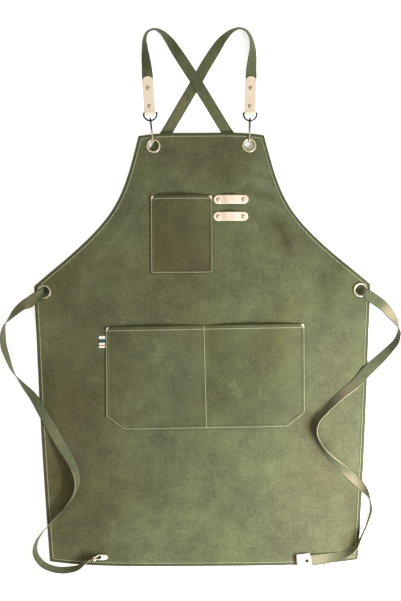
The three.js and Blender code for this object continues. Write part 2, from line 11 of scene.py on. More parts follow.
import bmesh
import bpy
import numpy as np
from bpy.props import FloatProperty, FloatVectorProperty, PointerProperty
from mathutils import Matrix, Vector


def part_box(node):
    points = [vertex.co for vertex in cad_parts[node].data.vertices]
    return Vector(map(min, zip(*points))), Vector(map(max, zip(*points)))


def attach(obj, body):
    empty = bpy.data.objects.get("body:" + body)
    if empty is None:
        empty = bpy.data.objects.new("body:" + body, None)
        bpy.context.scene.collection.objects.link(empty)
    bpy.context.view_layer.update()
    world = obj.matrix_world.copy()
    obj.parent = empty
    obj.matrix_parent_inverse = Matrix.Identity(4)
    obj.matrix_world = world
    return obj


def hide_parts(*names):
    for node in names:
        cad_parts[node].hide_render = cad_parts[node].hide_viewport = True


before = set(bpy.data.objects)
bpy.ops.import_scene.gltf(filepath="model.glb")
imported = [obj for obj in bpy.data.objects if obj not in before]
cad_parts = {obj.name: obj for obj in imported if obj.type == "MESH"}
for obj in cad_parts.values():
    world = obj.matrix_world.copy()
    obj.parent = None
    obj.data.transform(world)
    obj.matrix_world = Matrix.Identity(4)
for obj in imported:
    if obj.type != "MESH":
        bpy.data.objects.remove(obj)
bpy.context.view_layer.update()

bl_info = {
    "name": "Chef apron",
    "version": (1, 0, 0),
    "blender": (4, 5, 0),
    "location": "View3D > Sidebar > Apron",
    "description": "Builds a chef apron laid flat, with its straps, pockets and fittings",
    "category": "Object",
}

MM = 0.001
UP = np.array([0, 0, 1.0])
GAP = 0.3
CANVAS = 1.2
BIB = {"height": 279.7, "half_top": 115.8, "taper": 0.25, "flare": 0.97, "flare_at": 147,
       "flare_round": 30.3, "dip": 5.9, "dip_power": 3.5}
SKIRT = {"length": 522, "half_waist": 310, "narrowing": 14, "curve": 12, "bow": 10.6, "bow_power": 3,
         "corner_power": 4}
# Stitched edges: how wide the cloth is turned in and over what step it thins, where its stitches lie, its
# rounded rim, the groove that the thread presses, the puckers beside it, and where it is darker, partly for
# its extra waxed layers and partly as painted shade.
HEM = {"width": 6.5, "step": 1.1, "rise": 1.2, "stitch": 6.2, "round": 1.1, "groove": 0.4,
       "groove_reach": 0.7, "pucker_at": 6, "pucker_reach": 3.5, "pucker_run": (1.2, 1.5, 21),
       "side_crowding": 1.3, "dark_to": (5.6, 6.6), "thread_sunk": 0.35}
SEAM = {"width": 6, "step": 1.2, "rise": 0.7, "stitch": 2.4, "round": 1.1, "groove": 0.4,
        "groove_reach": 0.8, "pucker_at": 4.5, "pucker_reach": 3, "pucker_run": (1.25, 1.4, 17),
        "dark_to": (1.6, 2.4), "edge_dark": 0.6, "mouth_dark": 0.5, "mouth_step": 1, "below_top": 1}
# A pocket's divider is a seam, given by how far right of the middle it lies at the mouth and at the foot.
POCKETS = {
    "chest": {"left": -95.5, "right": 21, "bottom": 19.5, "top": 164, "cut_x": 1, "cut_y": 0, "halves": 1,
              "divider": (), "fullness": 6, "mouth": 5.6, "wax": 0.4, "tilt": 0},
    "lower": {"left": -180, "right": 190, "bottom": -268.3, "top": -76.6, "cut_x": 35, "cut_y": 27,
              "halves": 2, "divider": (-2.4, 1.2), "fullness": 6.5, "mouth": 6.8, "wax": 0.08,
              "tilt": 0.012},
}
PILLOW_POWER = 2.2
# Bar tacks are triangles of satin stitches, each stitch shorter than the one above it.
TACK = {"stitches": 6, "thread": 1.9, "longest": 9.6, "shorter": 1.4, "apart": 1.6, "inset": 1.2, "drop": 1.4,
        "size": {"left": 0.75, "right": 1.0}}
WEBBING = {"width": 20, "thickness": 1.4, "edge_power": 10}
D_RING = {"half_width": 12.2, "depth": 14.6, "shoulder": 2.4, "squareness": 0.25, "wire": 1.6}
# An end's pale value by side is the least share of the pale edge colour over its whole piece: on the tips it
# paints light over faces in shade, and it makes the left tab paler.
TAB = {"piece": "shoulder_fold", "node": "strap_tab", "length": 72, "width": 20.4, "leather": 2, "inside": 60,
       "rivets": (22, 55.7), "end": 10.2, "loop": D_RING["wire"] + 2 * GAP, "neck": 3, "tarnish_and_shade": 0.1,
       "pale": {"left": 0.6, "right": 0.0}, "slant": {"left": 0.0, "right": 0.0}}
TIP = {"piece": "end_fold", "node": "tie_tip", "length": 27, "width": 26, "leather": 1.8, "inside": 13,
       "rivets": (8,), "end": 3, "loop": 3, "neck": 5.2, "tarnish_and_shade": 1.0,
       "pale": {"left": 1.0, "right": 1.0}, "slant": {"left": 0.0, "right": 0.33}}
ENDS = {"tab": TAB, "tip": TIP}
# Half the slot between the two leaves of a tab or tip.
SLOT = WEBBING["thickness"] / 2 + 0.1
# Distances past the ends of a strap's run at which it goes on inside its tab and its tip.
IN_TAB = np.linspace(-TAB["inside"], -2, 10)[:, None]
IN_TIP = np.linspace(1.5, TIP["inside"], 5)[:, None]
PEN_TAB = {"length": 64.4, "width": 16.5, "leather": 2, "rivet": 23.3, "ramp": (5, 20.5), "bow": 3.2,
           "round": 1.3, "cut_pale": (0.3, 1.6), "tarnish_and_shade": 0.0}
PEN_TABS = {"upper": (54.4, 156), "lower": (53.8, 124.7)}
# A rivet darkens the leather round its cap, partly a stain and partly painted shade. Its cap is painted
# darker from a share of its radius outwards, as a painted dark reflection, some of it all round and some more
# on one side.
RIVET = {"cap": 3.5, "brim": 0.2, "shoulder": 0.25, "dome": 1.3, "round_power": 0.8, "stain": 0.25,
         "stain_reach": (3.3, 4.9), "dark_reflection_from": (0.4, 0.9), "dark_reflection_round": 0.5, "dark_reflection_side": 0.9}
# The direction of the side where the rivet caps are painted darkest.
REFLECTED_DARK_SIDE = np.array([-0.95, -0.3, 0])
LINK = {"wire": 1.5, "end": 4, "low": 1.7, "past_eyelet": 5.5, "past_ring": 4, "dark_from": (0.3, 0.65)}
EYELET = {"bore": 9.2, "front": 13.6, "back": 12.8, "crown": 1.7, "lip": 0.15, "seat": 0.1,
          "roll_power": 0.8, "painted_dark": 0.85, "painted_dark_reach": (0.2, 1.1)}
# Each eyelet's value by side paints shade over the whole ring, most on the left side eyelet.
EYELETS = {
    "top": {"x": 88.5, "y": 255.5, "lift": 4.6, "cloth": 1.2, "flat": 24, "reach": 80,
            "tarnish_and_shade": {"left": 0.1, "right": 0.0}},
    "side": {"x": 291.8, "y": -12.8, "lift": 10, "cloth": 2.4, "flat": 34, "reach": 90,
             "tarnish_and_shade": {"left": 0.45, "right": 0.0}},
}
# Round an eyelet the cloth is cut out, drawn back under the flange, and calm again further out.
HOLE = {"cut": 6, "drawn": 10.3, "calm": 14}
LABEL = {"right": -180.3, "top": -95, "bottom": -117, "out": 11.5, "thickness": 1.2, "round": 0.6}
SIDES = {"left": -1, "right": 1}

# The stage, in metres and radians, with the camera's own sizes in millimetres.
CAMERA = {"place": (0.0008, -0.0015, 3.0), "roll": -0.0062, "sensor": 36, "lens": 97.1}
FLOOR = {"half": 6, "drop": 0.0002, "dark_under_eyelet": (0.012, 0.018)}
KEY = {"place": (0.8, -0.55, 0.75), "tilt": math.radians(-7)}
SKY = {"rim": 0.22, "overhead": 1.25, "heights": (0.05, 0.8), "backdrop": 1.25}

# Where each strap runs, in columns x, y, rest above the floor, lean in degrees.
# The rows start at a shoulder tab and pass behind the bib.
SHOULDERS = {
    "left": [
        [-98.8, 384.5, 4.5, 0], [-99.65, 397, 2.4, -18], [-101.6, 417, 0.4, -36],
        [-103.4, 438, 0, -57], [-103.4, 454, 0, -68], [-97.5, 466.3, 0, -71],
        [-85, 470.8, 0, -71], [-73.5, 466.2, 0, -62], [-61, 453.7, 0, -42],
        [-45, 430.5, 0.2, -16], [-27.5, 403.5, 0.8, 0], [-8.4, 373.8, 1.9, 0],
        [10, 343.5, 0.6, 0], [46.7, 282.8, 0, 0], [84, 226, 0, 0], [118, 174, 0, 0],
        [156, 122, 0, 0], [202, 72, 0, 0], [258, 22, 0, 0],
    ],
    "right": [
        [92.8, 383.3, 4.5, 0], [93.25, 396, 2.4, 18], [95, 416, 0.4, 36],
        [95.7, 437, 0, 57], [92.6, 453.5, 0, 68], [85, 466.2, 0, 71],
        [71.5, 471.3, 0, 71], [57.5, 466.2, 0, 62], [42.5, 453.2, 0, 42],
        [25.5, 430, 0, 16], [8.4, 403.3, 0, 0], [-8.4, 373.8, 0, 0],
        [-26, 344.5, 0, 0], [-62.4, 283.4, 0, 0], [-98, 226, 0, 0], [-128, 174, 0, 0],
        [-160, 122, 0, 0], [-202, 72, 0, 0], [-258, 22, 0, 0],
    ],
}
# How a strap comes up through a side eyelet, in columns distance past the eyelet, rest, curl in degrees.
EYELET_HEADING = {"across": 0.82, "down": 0.572}
EYELET_PASS = [
    [-28, 0, 24], [-16, 0, 60], [-7.4, 0, 80], [-3.1, 0.9, 80], [0.3, 3.5, 80], [3.9, 8.2, 80],
    [7.4, 12.8, 78], [10.4, 14.6, 66], [15, 14.6, 44], [23, 13.8, 22], [34, 9.8, 6],
]
# How each strap's tie lies over the skirt, in the columns of SHOULDERS.
TIES = {
    "left": [
        [333.3, -42, 4, -14], [347.6, -58, 1.6, -29], [357.8, -73.5, 0.2, -56], [362.7, -86, 0, -92],
        [359.5, -104, 0, -114], [342, -126, 0.2, -134], [322.5, -145, 2.6, -150],
        [303, -163, 3.4, -160], [284, -184, 1.9, -146], [250, -212, 1.6, -134],
        [226, -236, 1.6, -119], [211.5, -257, 1.6, -102], [209.4, -276, 1.6, -92],
        [217, -297.5, 1.6, -100], [236, -323.5, 1.6, -124], [258.5, -344, 1.6, -148],
        [281, -364, 2.2, -157], [298, -383, 2.8, -124], [306, -397.5, 1.4, -94],
        [309.3, -416, 0, -96], [302.5, -441.5, 0.4, -91.5], [290.5, -467.3, 2.8, -91],
        [281, -487, 2.8, -100], [266, -499, 1.8, -116], [240, -505.5, 2, -142],
        [213.5, -509.7, 5, -168], [198, -511.3, 6.9, -180],
    ],
    "right": [
        [-329, -36.3, 4.6, 26], [-344.5, -48.7, 1, 46], [-356, -62, 0, 70], [-364, -72, 0, 90],
        [-368, -90, 0, 112], [-367, -111, 0, 118], [-360.5, -132.5, 0, 112],
        [-349, -160.5, 0, 92], [-332.5, -183, 0.4, 62], [-314, -205, 1.8, 36],
        [-297, -233.5, 3.3, 20], [-278, -269, 2.3, 2], [-258, -303, 1.6, -26],
        [-243, -328.5, 1.6, -46], [-234.5, -350, 1.6, -60], [-232.7, -366, 1.6, -68],
        [-236.5, -382.5, 1.6, -80], [-250, -404, 1.6, -86], [-276, -433, 2.9, -87],
        [-297.5, -456.5, 2.4, -84], [-309.5, -477, 0, -76], [-310.5, -496, 0, -68],
        [-299, -513.5, 0, -64], [-275, -524.8, 0, -62], [-246, -525.2, 1.8, -62],
        [-229, -520.3, 3, -70], [-219.5, -513.6, 3.8, -83], [-211, -508.8, 4.4, -96],
        [-204, -506.8, 5, -105],
    ],
}

# A rounded ridge over each hidden strap.
RIDGE = {"height": 2.3, "flat": 13, "reach": 32}
# Slow waves in the lying canvas, in columns length across, length along, phase, weight.
WAVES = [[61, 97, 0.6, 1.0], [-130, 43, 2.1, 1.0], [31, 31, 1.3, 0.7]]
# Between these distances from the centre line the waves die away, towards the ties.
CALM = (140, 205)
# How sharply ridges and mounds meet where the higher one takes over.
MEETING_POWER = 6
# Soft folds in the bib, in columns x and y of both ends and height.
FOLDS = [[70, 212, 146, 174, 3.6], [66, 172, 142, 141, 3.2], [136, 126, 183, 46, 3.2]]
FOLD_REACH = 8.5

# Where wax lies thick and dark on the canvas or is rubbed pale, and where shade and highlight are painted:
# the shadows beside the standing ties, light and dark bands along the bib's folds, shade along the lower
# pocket's middle seam, pale bands, and a darker left side, in columns x, y, reach, strength.
WAX_AND_SHADE_PATCHES = [
    [-235, -10, 130, 0.85], [-255, -200, 150, 0.75], [-210, -400, 160, 0.6], [-269, -356, 70, 0.6],
    [108, 178, 85, -0.8], [5, 250, 110, 0.45], [97, -178, 110, 0.45], [222, -360, 75, 0.35],
    [197, -262, 32, 0.9], [222, -305, 28, 0.7], [245, -335, 25, 0.5], [283, -405, 35, 0.8],
    [288, -445, 35, 0.9], [270, -482, 35, 0.8], [-212, -505, 26, 0.8], [-199, -5, 50, -0.7],
    [84, 176, 22, 0.5], [108, 166, 22, 0.6], [127, 157, 20, 0.5], [142, 103, 26, 0.5], [157, 77, 26, 0.6],
    [100, 187, 20, -0.5], [121, 177, 20, -0.6], [138, 167, 18, -0.5],
    [-66, 6, 115, 0.7], [70, 215, 60, 0.45], [160, 60, 70, 0.35], [158, -45, 60, 0.4], [4, -95, 85, 0.55],
    [4, -215, 90, 0.45], [122, -100, 75, 0.5], [-215, -240, 110, 0.3], [-100, -492, 120, -0.55],
]
# Where a painted colour cast of the light turns the olive pinker and warmer, and with a negative strength a
# little greener, in the same columns.
LIGHT_CAST_PATCHES = [
    [250, -150, 150, 0.3], [235, -330, 190, 0.5], [190, -490, 150, 0.35], [-275, -300, 120, 0.5],
    [-260, -470, 110, 0.4], [45, -190, 210, -0.4], [75, 90, 140, -0.25],
]
# Where the straps are painted pale straw, a painted highlight where light falls on them strongly, and with a
# negative strength painted darker, as painted shade, in the same columns.
STRAP_LIGHT_AND_SHADE_PATCHES = [
    [346, -60, 34, 0.7], [359, -104, 36, -0.6], [263, -194, 50, 0.35], [271, -378, 48, 0.65],
    [212, -509, 34, 0.38], [250, -505, 40, 0.16], [-105, 415, 50, -0.5], [-50, 435, 50, -0.55],
    [-8, 372, 42, -0.35], [-320, -31, 40, 0.2], [318, -32, 30, -0.35], [213, -262, 34, -0.5],
    [-42, 316, 60, 0.1], [-272, -280, 60, 0.12],
]
# Where the straps' edges are painted pale, a painted highlight on the upper edges of the standing bands, in
# the same columns.
EDGE_HIGHLIGHT_PATCHES = [
    [215, -262, 80, 1.0], [262, -195, 50, 0.8], [238, -330, 45, 0.8], [303, -430, 50, 0.9],
    [277, -492, 34, 0.8], [-236, -372, 55, 0.6], [-290, -450, 50, 0.5], [-222, -515, 42, 1.0],
]

# Distances from an edge at which grids get a line, crowded where the cloth is turned and stitched, and how
# far in the even lines begin.
HEM_LINES = np.array([0, 0.1, 0.3, 0.6, 1.1, 2, 3.4, 4.6, 5.4, 5.8, 6.2, 6.6, 7.1, 7.8, 9, 11, 14])
SEAM_LINES = np.array([0, 0.1, 0.3, 0.6, 1.1, 1.6, 2.0, 2.4, 2.8, 3.4, 4.4, 5.6, 6.4, 7.2, 8.4, 10])
MOUTH_LINES = np.concatenate([SEAM_LINES, [6, 6.8, 7.8, 9, 12]])
PAST_HEM, PAST_SEAM, PAST_MOUTH = 16, 11, 14
# Lines at the waist corners, and beside a pocket's divider.
WAIST_LINES = np.array([-2, -0.5, 1])
DIVIDER_LINES = np.array([-4, -2.5, -1, 0, 1, 2.5, 4])
# Even rows and columns of the body's grid, and spacing of the pockets' grids.
FINE_GRID = {"rows": 186, "columns": 150, "pocket": 1.8}

body_low, body_high = (np.array(corner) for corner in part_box("apron_body"))
CUT_ORIGIN = np.array([(body_low[0] + body_high[0]) / 2, body_high[1] - BIB["height"] * MM, 0.0])

# Sockets of a Mix node that mixes colours.
MIX_FACTOR, MIX_A, MIX_B, MIX_RESULT = 0, 6, 7, 2


def linear(hex_colour):
    """An sRGB hex colour as linear red, green and blue."""
    shares = [int(hex_colour[i:i + 2], 16) / 255 for i in (1, 3, 5)]
    return tuple(c / 12.92 if c <= 0.04045 else ((c + 0.055) / 1.055) ** 2.4 for c in shares)


def colour_property(name, description, hex_colour):
    """A colour that a user may change, with its default as an sRGB hex value."""
    return FloatVectorProperty(
        name=name, description=description, subtype="COLOR", size=3, min=0.0, max=1.0,
        default=linear(hex_colour),
    )


class ApronClothSettings(bpy.types.PropertyGroup):
    """Colours and sizes of the canvas, its thread and its label."""

    canvas: colour_property("Canvas", "Colour of the waxed canvas", "#42462b")
    worn: colour_property("Worn canvas", "Colour where the wax is rubbed or creased", "#676f4e")
    wave: FloatProperty(
        name="Waves", description="Height of the slow waves in the lying canvas",
        default=0.0007, min=0.0, max=0.001, unit="LENGTH", precision=4,
    )
    pucker: FloatProperty(
        name="Puckers", description="Height of the puckers along the stitched hems",
        default=0.00022, min=0.0, max=0.0005, unit="LENGTH", precision=5,
    )
    thread: colour_property("Thread", "Colour of the stitches", "#d5d8b6")
    tack: colour_property("Bar tacks", "Colour of the tacks at the pocket corners", "#efe7cd")
    pitch: FloatProperty(
        name="Stitch pitch", description="Distance from one stitch to the next",
        default=0.0034, min=0.002, max=0.008, unit="LENGTH", precision=4,
    )
    thread_width: FloatProperty(
        name="Thread width", description="Thickness of the thread",
        default=0.00125, min=0.0004, max=0.0015, unit="LENGTH", precision=4,
    )
    label: colour_property("Label ground", "Ground colour of the side label", "#e9e6dd")
    label_stripe: colour_property("Label stripe", "Broad stripe of the side label", "#2d4252")
    label_line: colour_property("Label line", "Narrow line of the side label", "#8a4a3a")


class ApronFittingSettings(bpy.types.PropertyGroup):
    """Colours and sizes of the straps, the leather and the metal."""

    webbing: colour_property("Webbing", "Colour of the webbing's ribs", "#6d7454")
    webbing_deep: colour_property("Webbing grooves", "Colour between the webbing's ribs", "#4e533b")
    # The darker edges are partly painted shade along the straps' sides.
    selvedge: colour_property("Selvedge", "Colour of the webbing's edges", "#43472f")
    # The pale colour of the painted highlight on the upper edges of standing straps.
    edge_highlight: colour_property("Frayed selvedge", "Colour of the webbing's frayed edges", "#d8cfae")
    # The dark colour of the painted shade on the straps.
    strap_shade: colour_property("Soiled webbing", "Colour where hands have greased the straps", "#34331f")
    # The straw colour of the painted highlight on the ties.
    painted_light: colour_property("Faded webbing", "Colour where the ties are bleached", "#d0ba9f")
    rib: FloatProperty(
        name="Rib pitch", description="Distance from one rib of the webbing to the next",
        default=0.0032, min=0.001, max=0.004, unit="LENGTH", precision=4,
    )
    leather: colour_property("Leather", "Colour of the leather's grain side", "#e9d7c8")
    leather_edge: colour_property("Leather edges", "Colour of the leather's cut edges", "#f2e8d8")
    brass: colour_property("Brass", "Colour of the polished brass", "#f3edd6")
    brass_dull: colour_property("Dull brass", "Colour of the tarnished brass", "#b3a47c")
    gunmetal: colour_property("Gunmetal", "Colour of the plated rings", "#5b5d61")


class ApronStageSettings(bpy.types.PropertyGroup):
    """The floor and the lights."""

    floor: colour_property("Floor", "Colour of the floor", "#f4f3f1")
    glow: FloatProperty(
        name="Glow", description="Light that comes up through the white acrylic floor",
        default=0.62, min=0.0, max=2.0,
    )
    key: FloatProperty(
        name="Key light", description="Power of the soft light from the lower right",
        default=34.0, min=0.0, max=500.0, unit="POWER",
    )
    key_size: FloatProperty(
        name="Key size", description="Width of the soft light",
        default=0.5, min=0.05, max=3.0, unit="LENGTH",
    )
    fill: FloatProperty(
        name="Fill", description="Brightness of the even light from all round",
        default=0.65, min=0.0, max=5.0,
    )


def rgba(colour):
    """A colour with full opacity."""
    return (*colour, 1.0)


def cells(size):
    """Scale of a noise or cell texture whose cells are so many millimetres wide."""
    return 1 / (size * MM)


def bands(pitch):
    """Scale of a wave texture whose bands are so many millimetres apart."""
    return math.pi / 10 / (pitch * MM)


def smooth_step(value, low, high):
    """0 below low and 1 above high, with a level start and end."""
    share = np.clip((value - low) / (high - low), 0, 1)
    return share * share * (3 - 2 * share)


def mound(distance, flat, reach):
    """1 out to flat and 0 past reach, with a smooth step between them."""
    return 1 - smooth_step(distance, flat, reach)


def bell(offset, width):
    """A bell curve: 1 at no offset, falling off over a width."""
    return np.exp(-(offset / width) ** 2)


def quarter_round(inset, radius):
    """Share of the full size at a distance in from an edge that is rounded as a quarter circle."""
    return np.sqrt(1 - (1 - np.clip(inset / radius, 0, 1)) ** 2)


def puckers(run, wave, sway, sway_wave):
    """Ripples along a seam: a sine that a slower sine pushes to and fro."""
    return np.sin(run / wave + sway * np.sin(run / sway_wave))


def crowded(count):
    """Shares from -1 to 1 that lie closer towards both ends, as a sine."""
    return np.sin(np.linspace(-math.pi / 2, math.pi / 2, count))


def full_turn(count):
    """Angles spaced evenly round a circle."""
    return np.linspace(0, 2 * math.pi, count, endpoint=False)


def running(points):
    """Distance along a line of points, from its first one."""
    return np.concatenate([[0], np.cumsum(np.linalg.norm(np.diff(points, axis=0), axis=1))])


def unit(vectors):
    """Vectors of length 1 in the same directions."""
    return vectors / np.linalg.norm(vectors, axis=-1, keepdims=True)


def layers(x, y, *heights):
    """Grids of points over the same places, one for each height."""
    return [np.stack(np.broadcast_arrays(x, y, height), axis=-1) for height in heights]


def route_at(rows, t):
    """A smooth curve through the rows: cubic pieces whose slopes keep the rows' own spacing."""
    span = np.hypot(*np.diff(rows[:, :2], axis=0).T)[:, None]
    rate = np.diff(rows, axis=0) / span
    slope = np.concatenate([
        rate[:1],
        (rate[:-1] * span[1:] + rate[1:] * span[:-1]) / (span[:-1] + span[1:]),
        rate[-1:],
    ])
    k = np.clip(np.floor(t), 0, len(rows) - 2).astype(int)
    f = (t - k)[:, None]
    rise = rows[k + 1] - rows[k]
    a = span[k] * slope[k]
    b = span[k] * slope[k + 1]
    return rows[k] + f * (a + f * (3 * rise - 2 * a - b + f * (a + b - 2 * rise)))


@lru_cache
def strap_rows(side):
    """All rows of one strap, with columns x, y, rest, lean, curl."""
    way = 1 if side == "left" else -1
    ahead, rest, curl = np.array(EYELET_PASS).T
    eyelet = EYELETS["side"]
    through = np.column_stack([
        way * (eyelet["x"] + ahead * EYELET_HEADING["across"]),
        eyelet["y"] - ahead * EYELET_HEADING["down"],
        rest,
        np.zeros_like(rest),
        curl,
    ])
    flat = [np.pad(np.array(table[side], float), ((0, 0), (0, 1))) for table in (SHOULDERS, TIES)]
    return np.concatenate([flat[0], through, flat[1]])


@lru_cache
def band_frames(side):
    """Places every two millimetres along a strap: middle, along, across, normal and curl.

    The band's lower edge is at its rest, so its middle is higher by half its upright extent.
    """
    step, steps_per_row = 2, 60
    rows = strap_rows(side)
    fine = route_at(rows, np.linspace(0, len(rows) - 1, steps_per_row * len(rows)))
    run = running(fine[:, :2])
    even = np.linspace(0, run[-1], int(run[-1] / step))
    x, y, rest, lean, curl = (np.interp(even, run, column) for column in fine.T)
    lean = np.radians(lean)
    upright = WEBBING["width"] * np.abs(np.sin(lean)) + WEBBING["thickness"] * np.abs(np.cos(lean))
    middle = np.column_stack([x, y, np.maximum(0, rest) + upright / 2])
    along = np.gradient(middle, axis=0)
    along[[0, -1], 2] = 0
    along = unit(along)
    flat = unit(np.column_stack([-along[:, 1], along[:, 0], np.zeros(len(x))]))
    turn = lean[:, None]
    across = flat * np.cos(turn) + np.cross(along, flat) * np.sin(turn)
    return middle, along, across, np.cross(along, across), np.radians(np.maximum(0, curl))


def band_end(side, kind):
    """Where a strap's tab or tip starts, and its axes: outwards along the band, across it and up from it."""
    middle, along, across, normal, _ = band_frames(side)
    if kind == "tab":
        return middle[0], (-along[0], -across[0], normal[0])
    return middle[-1], (along[-1], across[-1], normal[-1])


def ring_bar(side):
    """Where a D-ring's bar lies, in the fold of its tab, with the tab's axes."""
    start, axes = band_end(side, "tab")
    return start + axes[0] * (TAB["length"] - TAB["leather"] - TAB["loop"]), axes


@lru_cache
def hidden_legs():
    """Points along both straps from the shoulders to the side eyelets."""
    last = len(SHOULDERS["left"]) - 0.5
    return np.concatenate([
        route_at(strap_rows(side), np.arange(0, last, 0.1))[:, :2] for side in SIDES
    ])


def armhole(y):
    """Half the bib's width at a height: a straight taper that bends smoothly into a straight flare."""
    depth = BIB["height"] - BIB["dip"] - y
    bend = np.log1p(np.exp((depth - BIB["flare_at"]) / BIB["flare_round"]))
    return BIB["half_top"] + BIB["taper"] * depth + BIB["flare"] * BIB["flare_round"] * bend


def skirt_side(y):
    """Half the skirt's width at a height: it narrows evenly, and a little more towards the foot."""
    down = -y / SKIRT["length"]
    return SKIRT["half_waist"] - SKIRT["narrowing"] * down - SKIRT["curve"] * down * np.abs(down)


def half_width(y, inset=0.0):
    """Half the body's width at a height, measured in from the edge square to it."""
    edges = [
        edge(y) - inset * np.hypot(1, edge(y + 0.5) - edge(y - 0.5)) for edge in (armhole, skirt_side)
    ]
    return np.minimum(*edges)


def row_bow(row, share):
    """How far the top and lower edges bend away from straight rows, by the share of the half width."""
    top = -BIB["dip"] * np.maximum(0, row / BIB["height"]) * np.abs(share) ** BIB["dip_power"]
    down = np.maximum(0, -row / SKIRT["length"]) ** SKIRT["bow_power"]
    return top + SKIRT["bow"] * down * np.abs(share) ** SKIRT["corner_power"]


def distance_to(points, x, y):
    """Distance from each place to the nearest of a few hundred points, worked out in blocks."""
    places = np.stack([np.ravel(x), np.ravel(y)], axis=-1)
    blocks = np.array_split(places, len(places) // 4096 + 1)
    near = [np.linalg.norm(block[:, None] - points, axis=-1).min(axis=1) for block in blocks]
    return np.concatenate(near).reshape(np.shape(x))


def eyelet_mound(x, y):
    """Share by which each eyelet holds the canvas at its own height, and that height."""
    shares = [
        (mound(np.hypot(np.abs(x) - e["x"], y - e["y"]), e["flat"], e["reach"]), e["lift"])
        for e in EYELETS.values()
    ]
    return sum(share * lift for share, lift in shares), sum(share for share, _ in shares)


def fold_lift(x, y):
    """Height of the soft folds: a bell curve across each line that dies away towards its ends."""
    lift = np.zeros(np.shape(x))
    for x0, y0, x1, y1, height in FOLDS:
        length = math.hypot(x1 - x0, y1 - y0)
        along = ((x - x0) * (x1 - x0) + (y - y0) * (y1 - y0)) / length
        across = ((y - y0) * (x1 - x0) - (x - x0) * (y1 - y0)) / length
        taper = np.sin(math.pi * np.clip(along / length, 0, 1)) ** 2
        lift = lift + height * taper * bell(across, FOLD_REACH)
    return lift


def canvas_lift(x, y):
    """Height of the canvas's underside.

    A rounded ridge over each hidden strap, a mound at each eyelet, soft folds, and slow waves: crossed
    sines above zero that die away towards the ties and the eyelets.
    """
    ridge = RIDGE["height"] * mound(distance_to(hidden_legs(), x, y), RIDGE["flat"], RIDGE["reach"])
    peak, held = eyelet_mound(x, y)
    sines = sum(weight * np.sin(x / across + y / along + phase) for across, along, phase, weight in WAVES)
    swell = sines / sum(weight for *_, weight in WAVES)
    calm = mound(np.abs(x), *CALM) * (1 - np.clip(held, 0, 1))
    waves = bpy.context.scene.apron_cloth.wave / MM * (0.5 + 0.5 * swell) * calm
    higher = (ridge ** MEETING_POWER + peak ** MEETING_POWER + 1e-12) ** (1 / MEETING_POWER)
    return higher + waves + fold_lift(x, y)


def patches_at(table, x, y):
    """Sum of soft round patches, each its strength at its middle and nothing past its reach."""
    return sum(strength * mound(np.hypot(x - px, y - py), 0, reach) for px, py, reach, strength in table)


def wax_and_shade_at(x, y):
    """Share of wax and painted shade in the canvas, half where it is even, and less where wax is rubbed pale
    and where highlight is painted.
    """
    return np.clip(0.5 + 0.5 * patches_at(WAX_AND_SHADE_PATCHES, x, y), 0, 1)


def light_cast_at(x, y):
    """Share of the painted colour cast of the light on the canvas, a little over a third where it is even."""
    return np.clip(0.37 + patches_at(LIGHT_CAST_PATCHES, x, y), 0, 1)


def canvas_top(x, y):
    """Height of the canvas's upper side, away from its hems."""
    return canvas_lift(x, y) + CANVAS


def hung(pocket, x, y):
    """Height on the apron of a place in a pocket that is sewn on a little askew."""
    return y + pocket["tilt"] * (x - (pocket["left"] + pocket["right"]) / 2)


def cut_rise(pocket, x):
    """How far the cut lower corners raise a pocket's foot: straight up from where each cut starts."""
    middle = (pocket["left"] + pocket["right"]) / 2
    half = (pocket["right"] - pocket["left"]) / 2
    steep = pocket["cut_y"] / pocket["cut_x"]
    return steep * np.maximum(0, np.abs(x - middle) - (half - pocket["cut_x"]))


def pocket_inset(pocket, x, y):
    """Distances of a place in a pocket from its seamed edges and from its mouth, and its level."""
    cut_up = cut_rise(pocket, x)
    square = np.where(cut_up > 0, math.cos(math.atan2(pocket["cut_y"], pocket["cut_x"])), 1)
    foot = (y - pocket["bottom"] - cut_up) * square
    edge = np.minimum(np.minimum(x - pocket["left"], pocket["right"] - x), foot)
    level = (y - pocket["bottom"] - cut_up) / (pocket["top"] - pocket["bottom"] - cut_up)
    return edge, pocket["top"] - y, level


def pocket_rise(pocket, x, level):
    """How far a pocket stands off the canvas: a pillow in each half, open at the mouth."""
    panel = (pocket["right"] - pocket["left"]) / pocket["halves"]
    within = ((x - pocket["left"]) / panel) % 1
    u = np.minimum(1, np.abs(within - 0.5) * panel / (panel / 2 - SEAM["width"]))
    seam = SEAM["width"] / (pocket["top"] - pocket["bottom"])
    v = np.clip((level - seam) / (1 - seam), 0, 1)
    return pocket["fullness"] * (1 - u ** PILLOW_POWER) * (1 - (1 - v) ** PILLOW_POWER)


def pocket_faces(pocket, x, y):
    """Heights of a pocket's back and front.

    The cloth is thicker where it is turned in, pulled down along its stitches, puckered beside its seam,
    and rounded at its edges.
    """
    edge, mouth, level = pocket_inset(pocket, x, y)
    seam_turn = mound(edge, SEAM["width"], SEAM["width"] + SEAM["step"])
    mouth_end = pocket["mouth"] + SEAM["mouth_step"]
    mouth_turn = mound(mouth, mouth_end, mouth_end + SEAM["mouth_step"])
    thick = CANVAS * (1 + SEAM["rise"] * np.maximum(seam_turn, mouth_turn))
    stitched = np.maximum(
        bell(edge - SEAM["stitch"], SEAM["groove_reach"]), bell(mouth - pocket["mouth"], SEAM["groove_reach"])
    )
    ripple = puckers(x + y, *SEAM["pucker_run"]) * bell(edge - SEAM["pucker_at"], SEAM["pucker_reach"])
    rim = quarter_round(np.minimum(edge, mouth), SEAM["round"])
    middle = canvas_top(x, hung(pocket, x, y)) + GAP + pocket_rise(pocket, x, level) + thick / 2
    pucker = bpy.context.scene.apron_cloth.pucker / MM
    front = middle + thick / 2 * rim - SEAM["groove"] * stitched + pucker * ripple
    return middle - thick / 2 * rim, front


